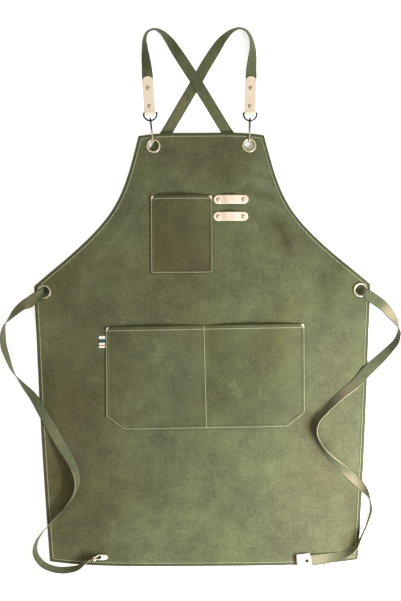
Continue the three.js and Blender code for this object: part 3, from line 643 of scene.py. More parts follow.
def pressed_at(distance):
    """How far a rivet darkens the leather, partly a stain and partly painted shade of the dip round its cap,
    by the distance from its middle.
    """
    return RIVET["stain"] * mound(distance, *RIVET["stain_reach"])


def shell(upper, lower, keep=None):
    """A sheet between two grids of points, closed along every open edge.

    Gives its points, its faces, and which of the stacked grid points are used.
    """
    rows, columns = upper.shape[:2]
    count = rows * columns
    index = np.arange(count).reshape(rows, columns)
    quads = np.stack([index[:-1, :-1], index[:-1, 1:], index[1:, 1:], index[1:, :-1]], axis=-1)
    quads = quads.reshape(-1, 4) if keep is None else quads[keep]
    edges = np.concatenate([quads[:, [i, (i + 1) % 4]] for i in range(4)])
    rim = edges[~np.isin(edges @ [count, 1], edges @ [1, count])]
    sides = np.column_stack([rim[:, 1], rim[:, 0], rim[:, 0] + count, rim[:, 1] + count])
    faces = np.concatenate([quads, quads[:, ::-1] + count, sides])
    used, faces = np.unique(faces, return_inverse=True)
    points = np.concatenate([upper.reshape(-1, 3), lower.reshape(-1, 3)])[used]
    return points, [faces.reshape(-1, 4)], used


def swept(rings, closed=False):
    """A skin over rings of points, joined end to end or capped at both ends."""
    count, sides = rings.shape[:2]
    index = np.arange(count * sides).reshape(count, sides)
    ahead = np.roll(index, -1, axis=0) if closed else index[1:]
    near = index if closed else index[:-1]
    beside = np.roll(near, -1, axis=1)
    quads = np.stack([near, beside, np.roll(ahead, -1, axis=1), ahead], axis=-1).reshape(-1, 4)
    caps = [] if closed else [index[:1, ::-1], index[-1:]]
    return rings.reshape(-1, 3), [quads, *caps]


def turned(profile, sides):
    """A profile of radius and height turned round the Z axis, as rings for swept()."""
    angle = full_turn(sides)[:, None]
    radius, height = profile.T
    return layers(radius * np.cos(angle), radius * np.sin(angle), height)[0]


def wire_rings(points, plane_normal, radius, sides=14):
    """Circles of wire round a closed line that lies in one plane."""
    along = unit(np.roll(points, -1, axis=0) - np.roll(points, 1, axis=0))
    out = np.cross(along, plane_normal)
    angle = full_turn(sides)[None, :, None]
    return points[:, None] + radius * (np.cos(angle) * out[:, None] + np.sin(angle) * plane_normal)


def evened(points, count):
    """A closed line with its points spaced evenly."""
    loop = np.concatenate([points, points[:1]])
    run = running(loop)
    even = np.linspace(0, run[-1], count, endpoint=False)
    return np.column_stack([np.interp(even, run, column) for column in loop.T])


def in_frame(points, origin, axes):
    """Points of a local frame, given by its origin and its three axes, in the frame of the cut."""
    return origin + points @ np.array(axes)


def stitches(path, pitch, width):
    """Stitches along a line: each a short bar of thread whose ends dip into the cloth.

    A bar fills four fifths of its pitch. Its rings get thinner by the fourth power of their share of
    its half length, and lie lower by the square of it.
    """
    filled = 0.8
    run = running(path)
    count = max(1, int(run[-1] / pitch))
    centre = (np.arange(count) + 0.5) * run[-1] / count
    reach = filled / 2 * run[-1] / count
    ends = [np.column_stack([np.interp(centre + way, run, c) for c in path.T]) for way in (-reach, reach)]
    along = (ends[1] - ends[0])[:, None, None]
    across = unit(np.cross(UP, ends[1] - ends[0]))[:, None, None]
    share = np.array([-1, -0.85, -0.4, 0, 0.4, 0.85, 1])[:, None, None]
    angle = full_turn(6)[None, :, None]
    radius = width / 2 * np.sqrt(1.05 - share ** 4)
    up = radius * np.sin(angle) + width * (0.3 - 0.75 * share ** 2)
    middle = (ends[0] + ends[1])[:, None, None] / 2
    return middle + along * share / 2 + across * radius * np.cos(angle) + up * UP


def joined_bars(bars):
    """All the bars of a set of stitches as one skin with capped ends."""
    count, rings, sides = bars.shape[:3]
    _, groups = swept(bars[0])
    start = (np.arange(count) * rings * sides)[:, None, None]
    return bars.reshape(-1, 3), [(start + group).reshape(-1, group.shape[1]) for group in groups]


def add_piece(name, points, faces, material, slot=None, nodes=(), weld=False):
    """Makes a smooth piece at the origin from points in the frame of the cut, and gives it to the frame."""
    mesh = bpy.data.meshes.new(name)
    mesh.from_pydata((points * MM + CUT_ORIGIN).tolist(), [], [f for group in faces for f in group.tolist()])
    skin = bmesh.new()
    skin.from_mesh(mesh)
    if weld:
        bmesh.ops.remove_doubles(skin, verts=skin.verts, dist=0.001 * MM)
    bmesh.ops.recalc_face_normals(skin, faces=skin.faces)
    skin.to_mesh(mesh)
    skin.free()
    mesh.shade_smooth()
    mesh.materials.append(material)
    piece = bpy.data.objects.new(name, mesh)
    bpy.context.scene.collection.objects.link(piece)
    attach(piece, "root")
    if nodes:
        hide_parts(*nodes)
    return piece


def store(piece, name, values, used=None):
    """Keeps a number, or a vector, for each point of a piece, for its material to read.

    With used, the values are given on a grid and hold for both of a shell's grids.
    """
    if used is not None:
        values = np.tile(values.ravel(), 2)[used]
    kind, field = ("FLOAT", "value") if values.ndim == 1 else ("FLOAT_VECTOR", "vector")
    attribute = piece.data.attributes.new(name, kind, "POINT")
    attribute.data.foreach_set(field, values.astype(np.float32).ravel())


def add_node(tree, kind, inputs=(), **settings):
    """Adds a node with settings, and fills its inputs: a socket is linked, anything else is set."""
    node = tree.nodes.new("ShaderNode" + kind)
    for name, value in settings.items():
        setattr(node, name, value)
    for key, value in dict(inputs).items():
        if isinstance(value, bpy.types.NodeSocket):
            tree.links.new(value, node.inputs[key])
        else:
            node.inputs[key].default_value = value
    return node


def start_material(name):
    """The material of a name, made if it isn't there, and its node tree, emptied."""
    material = bpy.data.materials.get(name) or bpy.data.materials.new(name)
    material.use_nodes = True
    material.node_tree.nodes.clear()
    return material, material.node_tree


def close_material(tree, settings):
    """Ends a material in one shader with these settings."""
    shader = add_node(tree, "BsdfPrincipled", settings)
    add_node(tree, "OutputMaterial", {"Surface": shader.outputs["BSDF"]})


def waxed_canvas():
    """Mill-waxed cotton duck: a dull olive that clouds where the wax lies thick, with painted shade, painted
    highlight and a painted colour cast of the light laid on by attributes.
    """
    cloth = bpy.context.scene.apron_cloth
    material, tree = start_material("Mill-waxed cotton duck")
    place = add_node(tree, "TexCoord").outputs["Object"]
    # Wax sinks in unevenly: the olive clouds over a hand's breadth and mottles over a thumb's.
    wax = add_node(tree, "TexNoise", {"Vector": place, "Scale": cells(120), "Detail": 3.0,
                                      "Roughness": 0.6})
    mottle = add_node(tree, "TexNoise", {"Vector": place, "Scale": cells(30), "Detail": 4.0,
                                         "Roughness": 0.6})
    # Slubs in the yarn speckle it, drawn 3.5 mm wide because single yarns are too fine to show.
    slubs = add_node(tree, "TexNoise", {"Vector": place, "Scale": cells(3.5), "Detail": 2.0})
    # Uneven yarns draw faint streaks along the cloth and across it.
    lengthwise = add_node(tree, "VectorMath", {0: place, 1: (12, 1, 1)}, operation="MULTIPLY")
    crosswise = add_node(tree, "VectorMath", {0: place, 1: (1, 12, 1)}, operation="MULTIPLY")
    warp_streak, weft_streak = (
        add_node(tree, "TexNoise", {"Vector": drawn.outputs[0], "Scale": cells(50), "Detail": 4.0})
        for drawn in (lengthwise, crosswise)
    )
    tone = wax.outputs["Fac"]
    for layer, weight in ((mottle, 0.34), (slubs, 0.72), (warp_streak, 0.18), (weft_streak, 0.18)):
        tone = add_node(tree, "Math", {0: layer.outputs["Fac"], 1: weight, 2: tone},
                        operation="MULTIPLY_ADD").outputs[0]
    share = add_node(tree, "MapRange", {"Value": tone, "From Min": 0.88, "From Max": 1.54})
    base = add_node(tree, "Mix", {MIX_FACTOR: share.outputs[0], MIX_A: rgba(cloth.canvas),
                                  MIX_B: rgba(cloth.worn)}, data_type="RGBA")
    # Where the wax share is high the cloth is darker and browner, for thick wax and for painted shade such as
    # the brown shadows beside the ties, and where it is low it is paler, for rubbed wax and painted
    # highlight. The second share paints a colour cast of the light: pinker and warmer where it is high,
    # greener where it is low.
    tints = (("wax", (1.34, 1.38, 1.44, 1.0), (0.75, 0.61, 0.44, 1.0)),
             ("light_cast", (0.94, 1.0, 0.99, 1.0), (1.1, 0.99, 1.09, 1.0)))
    for name, at_none, at_full in tints:
        depth = add_node(tree, "Attribute", attribute_name=name)
        tint = add_node(tree, "Mix", {MIX_FACTOR: depth.outputs["Fac"], MIX_A: at_none, MIX_B: at_full},
                        data_type="RGBA")
        base = add_node(tree, "Mix", {MIX_FACTOR: 1.0, MIX_A: base.outputs[MIX_RESULT],
                                      MIX_B: tint.outputs[MIX_RESULT]},
                        data_type="RGBA", blend_type="MULTIPLY")
    # Folding breaks the wax into pale hairlines: where a noise crosses its middle, in patches.
    fold = add_node(tree, "TexNoise", {"Vector": place, "Scale": cells(160), "Detail": 2.0})
    off = add_node(tree, "Math", {0: fold.outputs["Fac"], 1: 0.5}, operation="SUBTRACT")
    near = add_node(tree, "Math", {0: off.outputs[0]}, operation="ABSOLUTE")
    hairline = add_node(tree, "MapRange", {"Value": near.outputs[0], "From Min": 0.0, "From Max": 0.006,
                                           "To Min": 0.32, "To Max": 0.0})
    where = add_node(tree, "MapRange", {"Value": mottle.outputs["Fac"], "From Min": 0.5, "From Max": 0.62})
    crease = add_node(tree, "Math", {0: hairline.outputs[0], 1: where.outputs[0]}, operation="MULTIPLY")
    creased = add_node(tree, "Mix", {MIX_FACTOR: crease.outputs[0], MIX_A: base.outputs[MIX_RESULT],
                                     MIX_B: rgba(linear("#7f7f62"))}, data_type="RGBA")
    # Turned hems and pocket edges read darker: partly their extra waxed layers, partly painted shade along
    # the edges and under the pocket mouths.
    hem = add_node(tree, "Attribute", attribute_name="hem")
    shade = add_node(tree, "Math", {0: hem.outputs["Fac"], 1: 0.5}, operation="MULTIPLY")
    edged = add_node(tree, "Mix", {MIX_FACTOR: shade.outputs[0], MIX_A: creased.outputs[MIX_RESULT],
                                   MIX_B: rgba(linear("#34351f"))}, data_type="RGBA")
    # Paired yarns of heavy duck lie about 1.1 mm apart and give a fine pebbled tooth.
    warp, weft = (
        add_node(tree, "TexWave", {"Vector": place, "Scale": bands(1.1), "Distortion": 0.6},
                 bands_direction=way)
        for way in "XY"
    )
    weave = add_node(tree, "Math", {0: warp.outputs["Fac"], 1: weft.outputs["Fac"]}, operation="MULTIPLY")
    tooth = add_node(tree, "Bump", {"Height": weave.outputs[0], "Strength": 0.35, "Distance": 0.0003})
    crumple = add_node(tree, "Bump", {"Height": mottle.outputs["Fac"], "Strength": 0.3, "Distance": 0.0015,
                                      "Normal": tooth.outputs["Normal"]})
    dull = add_node(tree, "MapRange", {"Value": wax.outputs["Fac"], "From Min": 0.3, "From Max": 0.7,
                                       "To Min": 0.58, "To Max": 0.8})
    close_material(tree, {
        "Base Color": edged.outputs[MIX_RESULT], "Roughness": dull.outputs[0],
        "Normal": crumple.outputs["Normal"], "Sheen Weight": 0.08, "Specular IOR Level": 0.35,
    })
    return material


def ribbed_webbing():
    """Ribbed cotton webbing, shuttle-woven: cross ribs between darker selvedges, with painted highlight and
    painted shade laid on by attributes.
    """
    fittings = bpy.context.scene.apron_fittings
    material, tree = start_material("Shuttle-woven cotton webbing")
    band = add_node(tree, "Attribute", attribute_name="band")
    parts = add_node(tree, "SeparateXYZ", {0: band.outputs["Vector"]})
    # Thick wefts under a tight warp stand up as ribs straight across the band.
    ribs = add_node(tree, "TexWave", {"Vector": band.outputs["Vector"], "Scale": bands(fittings.rib / MM),
                                      "Distortion": 0.5, "Detail": 1.0}, bands_direction="Y")
    # Between the ribs the colour is darker, a painted shade in the grooves.
    base = add_node(tree, "Mix", {MIX_FACTOR: ribs.outputs["Fac"], MIX_A: rgba(fittings.webbing_deep),
                                  MIX_B: rgba(fittings.webbing)}, data_type="RGBA")
    # Cotton takes the dye unevenly over a finger's length.
    place = add_node(tree, "TexCoord").outputs["Object"]
    dye = add_node(tree, "TexNoise", {"Vector": place, "Scale": cells(12), "Detail": 4.0})
    tone = add_node(tree, "MapRange", {"Value": dye.outputs["Fac"], "From Min": 0.35, "From Max": 0.65,
                                       "To Min": 0.86, "To Max": 1.12})
    dyed = add_node(tree, "Mix", {MIX_FACTOR: 1.0, MIX_A: base.outputs[MIX_RESULT],
                                  MIX_B: tone.outputs[0]}, data_type="RGBA", blend_type="MULTIPLY")
    # Painted highlight: parts of the ties are painted straw where the light falls on them strongly, less in
    # the grooves than on the ribs.
    painted_light_share = add_node(tree, "Attribute", attribute_name="painted_light")
    height = add_node(tree, "MapRange", {"Value": ribs.outputs["Fac"], "To Min": 0.45, "To Max": 1.0})
    lit = add_node(tree, "Math", {0: painted_light_share.outputs["Fac"], 1: height.outputs[0]}, operation="MULTIPLY",
                   use_clamp=True)
    highlighted = add_node(tree, "Mix", {MIX_FACTOR: lit.outputs[0], MIX_A: dyed.outputs[MIX_RESULT],
                                     MIX_B: rgba(fittings.painted_light)}, data_type="RGBA")
    # Painted shade: where the share is negative the straps are painted darker.
    shade_share = add_node(tree, "MapRange", {"Value": painted_light_share.outputs["Fac"], "From Min": 0.0, "From Max": -1.0})
    shaded = add_node(tree, "Mix", {MIX_FACTOR: shade_share.outputs[0], MIX_A: highlighted.outputs[MIX_RESULT],
                                     MIX_B: rgba(fittings.strap_shade)}, data_type="RGBA")
    # The selvedges are darker, partly as painted shade along the strap's sides, and painted pale where the
    # edge share is high, a painted highlight on the upper edge of a standing band.
    worn = add_node(tree, "Attribute", attribute_name="edge_highlight")
    binding = add_node(tree, "Mix", {MIX_FACTOR: worn.outputs["Fac"], MIX_A: rgba(fittings.selvedge),
                                     MIX_B: rgba(fittings.edge_highlight)}, data_type="RGBA")
    side = add_node(tree, "Math", {0: parts.outputs["X"]}, operation="ABSOLUTE")
    rubbed = add_node(tree, "MapRange", {"Value": side.outputs[0], "From Min": 0.0078, "From Max": 0.0094,
                                         "To Min": 0.0, "To Max": 0.85})
    edged = add_node(tree, "Mix", {MIX_FACTOR: rubbed.outputs[0], MIX_A: shaded.outputs[MIX_RESULT],
                                   MIX_B: binding.outputs[MIX_RESULT]}, data_type="RGBA")
    relief = add_node(tree, "Bump", {"Height": ribs.outputs["Fac"], "Strength": 0.6, "Distance": 0.0004})
    close_material(tree, {
        "Base Color": edged.outputs[MIX_RESULT], "Roughness": 0.85, "Sheen Weight": 0.15,
        "Specular IOR Level": 0.25, "Normal": relief.outputs["Normal"],
    })
    return material


def natural_leather():
    """Vegetable-tanned leather, undyed: a warm cream with fine grain and paler cut edges."""
    fittings = bpy.context.scene.apron_fittings
    material, tree = start_material("Undyed vegetable-tanned leather")
    place = add_node(tree, "TexCoord").outputs["Object"]
    # Oils from handling warm the cream in soft spots.
    spots = add_node(tree, "TexNoise", {"Vector": place, "Scale": cells(14), "Detail": 4.0})
    oiled = add_node(tree, "MapRange", {"Value": spots.outputs["Fac"], "From Min": 0.42, "From Max": 0.68,
                                        "To Min": 0.0, "To Max": 0.5})
    face = add_node(tree, "Mix", {MIX_FACTOR: oiled.outputs[0], MIX_A: rgba(fittings.leather),
                                  MIX_B: rgba(linear("#dcc3ae"))}, data_type="RGBA")
    edge = add_node(tree, "Attribute", attribute_name="cut_edge")
    cut = add_node(tree, "Mix", {MIX_FACTOR: edge.outputs["Fac"], MIX_A: face.outputs[MIX_RESULT],
                                 MIX_B: rgba(fittings.leather_edge)}, data_type="RGBA")
    # Round each rivet the leather is darker: partly a stain from the metal, partly painted shade of the dip
    # its brim presses.
    pressed = add_node(tree, "Attribute", attribute_name="pressed")
    stain_and_shade = add_node(tree, "Mix", {MIX_FACTOR: pressed.outputs["Fac"], MIX_A: cut.outputs[MIX_RESULT],
                                     MIX_B: rgba(linear("#8a6a48"))}, data_type="RGBA")
    # Calf grain has cells under a millimetre wide.
    grain = add_node(tree, "TexVoronoi", {"Vector": place, "Scale": cells(0.9)})
    relief = add_node(tree, "Bump", {"Height": grain.outputs["Distance"], "Strength": 0.2,
                                     "Distance": 0.0002})
    close_material(tree, {
        "Base Color": stain_and_shade.outputs[MIX_RESULT], "Roughness": 0.52, "Specular IOR Level": 0.4,
        "Normal": relief.outputs["Normal"],
    })
    return material


def satin_metal(name, bright, dull, roughness):
    """Plated or solid metal, tumbled: satin highlights with duller patches, darker where an attribute lays on
    tarnish and painted shade.
    """
    material, tree = start_material(name)
    place = add_node(tree, "TexCoord").outputs["Object"]
    # Tarnish gathers in patches a few millimetres wide, which break up the highlights.
    patches = add_node(tree, "TexNoise", {"Vector": place, "Scale": cells(5), "Detail": 4.0})
    share = add_node(tree, "MapRange", {"Value": patches.outputs["Fac"], "From Min": 0.4, "From Max": 0.7,
                                        "To Min": 0.0, "To Max": 0.7})
    colour = add_node(tree, "Mix", {MIX_FACTOR: share.outputs[0], MIX_A: rgba(bright), MIX_B: rgba(dull)},
                      data_type="RGBA")
    # Darker towards dark metal by the attribute: painted shade and painted dark reflection round rivet brims,
    # in eyelet corners and at the links' far ends, over whole eyelets by side, and over the tips' rivets.
    worn = add_node(tree, "Attribute", attribute_name="tarnish_and_shade")
    darkened = add_node(tree, "Mix", {MIX_FACTOR: worn.outputs["Fac"], MIX_A: colour.outputs[MIX_RESULT],
                                      MIX_B: rgba(linear("#3a3733"))}, data_type="RGBA")
    satin = add_node(tree, "MapRange", {"Value": patches.outputs["Fac"], "From Min": 0.3, "From Max": 0.7,
                                        "To Min": roughness, "To Max": roughness + 0.18})
    matt = add_node(tree, "Math", {0: worn.outputs["Fac"], 1: 0.35, 2: satin.outputs[0]},
                    operation="MULTIPLY_ADD")
    close_material(tree, {
        "Base Color": darkened.outputs[MIX_RESULT], "Metallic": 1.0, "Roughness": matt.outputs[0],
    })
    return material


def brass():
    """Pale brass, tumbled: a soft yellow-white shine."""
    fittings = bpy.context.scene.apron_fittings
    return satin_metal("Tumbled pale brass", tuple(fittings.brass), tuple(fittings.brass_dull), 0.26)


def gunmetal():
    """Steel wire plated in gunmetal: a dark grey shine."""
    fittings = bpy.context.scene.apron_fittings
    return satin_metal("Gunmetal-plated steel wire", tuple(fittings.gunmetal), linear("#282a2d"), 0.3)


def sewing_thread(name, colour):
    """Twisted sewing thread: pale, with the turns of its plies showing as fine shading."""
    material, tree = start_material(name)
    place = add_node(tree, "TexCoord").outputs["Object"]
    # Three plies turn about once a millimetre.
    twist = add_node(tree, "TexWave", {"Vector": place, "Scale": bands(1), "Distortion": 1.0},
                     bands_direction="DIAGONAL")
    shade = add_node(tree, "Mix", {MIX_FACTOR: twist.outputs["Fac"], MIX_A: rgba([0.7 * c for c in colour]),
                                   MIX_B: rgba(colour)}, data_type="RGBA")
    close_material(tree, {
        "Base Color": shade.outputs[MIX_RESULT], "Roughness": 0.7, "Sheen Weight": 0.2,
    })
    return material


def woven_tape():
    """Jacquard-woven label tape: a plain ground with one broad stripe and one line."""
    cloth = bpy.context.scene.apron_cloth
    material, tree = start_material("Jacquard-woven tape")
    tape = add_node(tree, "Attribute", attribute_name="tape")
    stripes = add_node(tree, "ValToRGB", {"Fac": tape.outputs["Fac"]})
    ramp = stripes.color_ramp
    ramp.interpolation = "CONSTANT"
    ramp.elements[0].color = rgba(cloth.label)
    ramp.elements.remove(ramp.elements[1])
    for position, colour in (
        (0.16, cloth.label_line), (0.24, cloth.label), (0.42, cloth.label_stripe), (0.74, cloth.label),
    ):
        ramp.elements.new(position).color = rgba(colour)
    # Fine picks about 0.4 mm apart give the tape a silky rib.
    place = add_node(tree, "TexCoord").outputs["Object"]
    picks = add_node(tree, "TexWave", {"Vector": place, "Scale": bands(0.4)}, bands_direction="Y")
    relief = add_node(tree, "Bump", {"Height": picks.outputs["Fac"], "Strength": 0.3, "Distance": 0.0001})
    close_material(tree, {
        "Base Color": stripes.outputs["Color"], "Roughness": 0.6, "Normal": relief.outputs["Normal"],
    })
    return material


class APRON_OT_stage(bpy.types.Operator):
    """Adds the camera, the floor and the lights"""

    bl_idname = "apron.stage"
    bl_label = "Stage"

    def execute(self, context):
        scene = context.scene
        settings = scene.apron_stage
        camera = bpy.data.objects.new("camera", bpy.data.cameras.new("camera"))
        camera.location = CAMERA["place"]
        camera.rotation_euler = (0, 0, CAMERA["roll"])
        camera.data.sensor_width = CAMERA["sensor"]
        camera.data.lens = CAMERA["lens"]
        scene.collection.objects.link(camera)
        scene.camera = camera

        floor = self.add_floor(scene, settings)
        lamp = bpy.data.lights.new("key", "AREA")
        lamp.energy = settings.key
        lamp.size = settings.key_size
        lamp.color = linear("#fafdff")
        key = bpy.data.objects.new("key", lamp)
        key.location = KEY["place"]
        key.rotation_euler = (0, KEY["tilt"], 0)
        scene.collection.objects.link(key)
        self.add_sky(scene, settings)
        scene.view_settings.view_transform = "Standard"
        return {"FINISHED"}

    def add_floor(self, scene, settings):
        """A square of opal acrylic, lit from below: a bright even white with no sheen."""
        half, drop = FLOOR["half"], FLOOR["drop"]
        board = bpy.data.meshes.new("floor")
        corners = [(half * x, half * y, -drop) for x, y in ((-1, -1), (1, -1), (1, 1), (-1, 1))]
        board.from_pydata(corners, [], [(0, 1, 2, 3)])
        floor = bpy.data.objects.new("floor", board)
        scene.collection.objects.link(floor)
        material, tree = start_material("Backlit opal acrylic")
        # Painted shade: the glow is taken away under each eyelet, so the floor seen through its hole is
        # darker.
        place = add_node(tree, "TexCoord").outputs["Object"]
        dark, lit = FLOOR["dark_under_eyelet"]
        glow = settings.glow
        for way in SIDES.values():
            for eyelet in EYELETS.values():
                middle = CUT_ORIGIN + np.array([way * eyelet["x"], eyelet["y"], 0]) * MM
                away = add_node(tree, "VectorMath", {0: place, 1: tuple(middle)}, operation="DISTANCE")
                glow = add_node(tree, "MapRange", {"Value": away.outputs["Value"], "From Min": dark,
                                                   "From Max": lit, "To Max": glow}).outputs[0]
        close_material(tree, {
            "Base Color": rgba(settings.floor), "Roughness": 0.9, "Specular IOR Level": 0.1,
            "Emission Color": rgba(linear("#eff2fa")), "Emission Strength": glow,
        })
        board.materials.append(material)
        return floor

    def add_sky(self, scene, settings):
        """A wide overhead box, even in its middle and darker at its sides, which metal mirrors as rims."""
        world = bpy.data.worlds.new("overhead box")
        world.use_nodes = True
        sky = world.node_tree
        sky.nodes.clear()
        heading = add_node(sky, "TexCoord").outputs["Generated"]
        height = add_node(sky, "SeparateXYZ", {0: heading}).outputs["Z"]
        low, high = SKY["heights"]
        box = add_node(sky, "MapRange", {
            "Value": height, "From Min": low, "From Max": high,
            "To Min": SKY["rim"] * settings.fill, "To Max": SKY["overhead"] * settings.fill,
        })
        overhead = add_node(sky, "Background", {"Color": rgba(linear("#fff7e2")), "Strength": box.outputs[0]})
        backdrop = add_node(sky, "Background", {"Color": rgba(settings.floor), "Strength": SKY["backdrop"]})
        seen = add_node(sky, "LightPath").outputs["Is Camera Ray"]
        mixed = add_node(sky, "MixShader", {0: seen, 1: overhead.outputs[0], 2: backdrop.outputs[0]})
        add_node(sky, "OutputWorld", {"Surface": mixed.outputs[0]})
        scene.world = world


class APRON_OT_body(bpy.types.Operator):
    """Adds the canvas body with its turned hems and eyelet holes"""

    bl_idname = "apron.body"
    bl_label = "Canvas body"

    def execute(self, context):
        """A grid across the outline, with lines crowded at its hems.

        The cloth is thicker where it is turned in, pressed down along its stitches, puckered beside them
        and rounded at its rim.
        """
        grid = FINE_GRID
        low, high = -SKIRT["length"], BIB["height"]
        even_rows = np.linspace(low + PAST_HEM, high - PAST_HEM, grid["rows"])
        rows = np.unique(np.concatenate([low + HEM_LINES, even_rows, WAIST_LINES, high - HEM_LINES]))[:, None]
        edge_y = rows + row_bow(rows, 1.0)
        hems = half_width(edge_y, HEM_LINES[None])
        inside = half_width(edge_y, PAST_HEM) * np.linspace(-1, 1, grid["columns"])
        x = np.concatenate([-hems, inside, hems[:, ::-1]], axis=1)
        y = rows + row_bow(rows, x / half_width(edge_y))
        from_side = np.concatenate([HEM_LINES, np.full(grid["columns"], np.inf), HEM_LINES[::-1]])
        from_end = np.minimum(rows - low, high - rows)
        inset = np.minimum(from_side, from_end)
        x, y, keep = self.draw_back(x, y)

        thick = CANVAS + HEM["rise"] * mound(inset, HEM["width"], HEM["width"] + HEM["step"])
        rim = quarter_round(inset, HEM["round"])
        run = np.where(from_side < from_end, HEM["side_crowding"] * y, x)
        ripple = puckers(run, *HEM["pucker_run"]) * bell(inset - HEM["pucker_at"], HEM["pucker_reach"])
        groove = HEM["groove"] * bell(inset - HEM["stitch"], HEM["groove_reach"])
        pucker = context.scene.apron_cloth.pucker / MM
        middle = canvas_lift(x, y) + thick / 2
        top = middle + thick / 2 * rim - groove + pucker * ripple
        points, faces, used = shell(*layers(x, y, top, middle - thick / 2 * rim), keep)
        piece = add_piece("canvas_body", points, faces, waxed_canvas(), "canvas", ["apron_body"])
        # Painted shade in part: the hem share darkens the turned edges.
        store(piece, "hem", mound(inset, *HEM["dark_to"]), used)
        # The wax share also carries painted shadows, painted fold shading and painted highlights.
        store(piece, "wax", wax_and_shade_at(x, y), used)
        # A painted colour cast of the light.
        store(piece, "light_cast", light_cast_at(x, y), used)
        area = 2 * half_width(np.linspace(low, high, 400)).mean() * (high - low) * MM ** 2
        return {"FINISHED"}

    def draw_back(self, x, y):
        """Places of the cloth round the eyelets, and which faces of the grid are left.

        Faces that reach into a hole are left out, and the ring of cloth round it is squeezed outwards in
        proportion, so that the cut edge lies under the eyelet's flange.
        """
        cut, drawn, calm = HOLE["cut"], HOLE["drawn"], HOLE["calm"]
        keep = np.ones((x.shape[0] - 1, x.shape[1] - 1), bool)
        for eyelet in EYELETS.values():
            out_x = np.abs(x) - eyelet["x"]
            out_y = y - eyelet["y"]
            radius = np.hypot(out_x, out_y)
            whole = radius >= cut
            keep &= whole[:-1, :-1] & whole[:-1, 1:] & whole[1:, :-1] & whole[1:, 1:]
            squeezed = drawn + (np.maximum(radius, cut) - cut) * (calm - drawn) / (calm - cut)
            pull = squeezed / np.maximum(radius, 1e-6)
            x = np.where(radius < calm, np.sign(x) * (eyelet["x"] + out_x * pull), x)
            y = np.where(radius < calm, eyelet["y"] + out_y * pull, y)
        return x, y, keep


class APRON_OT_pockets(bpy.types.Operator):
    """Adds the chest pocket and the divided lower pocket"""

    bl_idname = "apron.pockets"
    bl_label = "Pockets"

    def execute(self, context):
        for name, pocket in POCKETS.items():
            self.add_pocket(name, pocket)
        return {"FINISHED"}

    def add_pocket(self, name, pocket):
        """A grid whose lower rows follow the cut corners, between the heights of the back and the front."""
        left, right, bottom, top = (pocket[key] for key in ("left", "right", "bottom", "top"))
        width, height = right - left, top - bottom
        spacing = FINE_GRID["pocket"]
        even_columns = np.arange(left + PAST_SEAM, right - PAST_SEAM, spacing)
        even_rows = np.arange(PAST_SEAM, height - PAST_MOUTH, spacing)
        columns = [left + SEAM_LINES, even_columns, right - SEAM_LINES]
        if pocket["divider"]:
            columns.append((left + right) / 2 + DIVIDER_LINES)
        rows = [SEAM_LINES, even_rows, height - MOUTH_LINES]
        x = np.unique(np.concatenate(columns))[None]
        share = np.unique(np.concatenate(rows))[:, None] / height
        cut_up = cut_rise(pocket, x)
        y = bottom + cut_up + (height - cut_up) * share
        x = np.broadcast_to(x, y.shape)
        back, front = pocket_faces(pocket, x, y)
        points, faces, used = shell(*layers(x, hung(pocket, x, y), front, back))
        piece = add_piece(f"{name}_patch", points, faces, waxed_canvas(), "canvas", [f"{name}_pocket"])
        edge, mouth, _ = pocket_inset(pocket, x, y)
        # Seam edges and the band under the mouth read darker, partly as painted shade.
        seam_dark = SEAM["edge_dark"] * mound(edge, *SEAM["dark_to"])
        mouth_dark = SEAM["mouth_dark"] * mound(mouth, pocket["mouth"] - SEAM["mouth_step"], pocket["mouth"])
        store(piece, "hem", np.maximum(seam_dark, mouth_dark), used)
        # The wax share also carries painted shade, such as along the lower pocket's middle seam, and a
        # pocket's own value makes it darker than the canvas round it.
        store(piece, "wax", np.clip(wax_and_shade_at(x, y) + pocket["wax"], 0, 1), used)
        # A painted colour cast of the light.
        store(piece, "light_cast", light_cast_at(x, y), used)


class APRON_OT_straps(bpy.types.Operator):
    """Adds the two webbing straps, from the shoulder tabs to the tips of the ties"""

    bl_idname = "apron.straps"
    bl_label = "Straps"

    def execute(self, context):
        """A flat outline with thin edges, swept along each band's frames and on into its leather ends."""
        # The outline goes over the band's upper face and back under its lower one.
        face_points, least_curl = 15, 1e-4
        half = WEBBING["width"] / 2
        face = crowded(face_points)
        thick = WEBBING["thickness"] / 2 * np.sqrt(1 - face ** WEBBING["edge_power"])
        share = np.concatenate([face, face[-2:0:-1]])[None]
        offset = np.concatenate([thick, -thick[-2:0:-1]])[None]
        for side in SIDES:
            middle, along, across, normal, curl = band_frames(side)
            middle = np.concatenate([middle[0] + IN_TAB * along[0], middle, middle[-1] + IN_TIP * along[-1]])
            ends = (len(IN_TAB), len(IN_TIP))
            across, normal = (np.pad(axis, (ends, (0, 0)), "edge") for axis in (across, normal))
            # The outline is bent along an arc of the curl to either side, which keeps the band's width.
            bent = np.maximum(np.pad(curl, ends)[:, None], least_curl)
            angle = share * bent
            out = half / bent * np.sin(angle) - offset * np.sin(angle)
            up = half / bent * (1 - np.cos(angle)) + offset * np.cos(angle)
            rings = middle[:, None] + out[..., None] * across[:, None] + up[..., None] * normal[:, None]
            points, faces = swept(rings)
            nodes = [f"strap_{side}"]
            piece = add_piece(f"webbing_{side}", points, faces, ribbed_webbing(), "webbing", nodes)
            run = running(middle)
            store(piece, "band", layers(share * half, run[:, None], 0.0)[0].reshape(-1, 3) * MM)
            # Painted highlight and painted shade on the straps, and painted highlight on their edges.
            for name, table in (("painted_light", STRAP_LIGHT_AND_SHADE_PATCHES), ("edge_highlight", EDGE_HIGHLIGHT_PATCHES)):
                store(piece, name, np.clip(patches_at(table, points[:, 0], points[:, 1]), -1, 1))
        return {"FINISHED"}


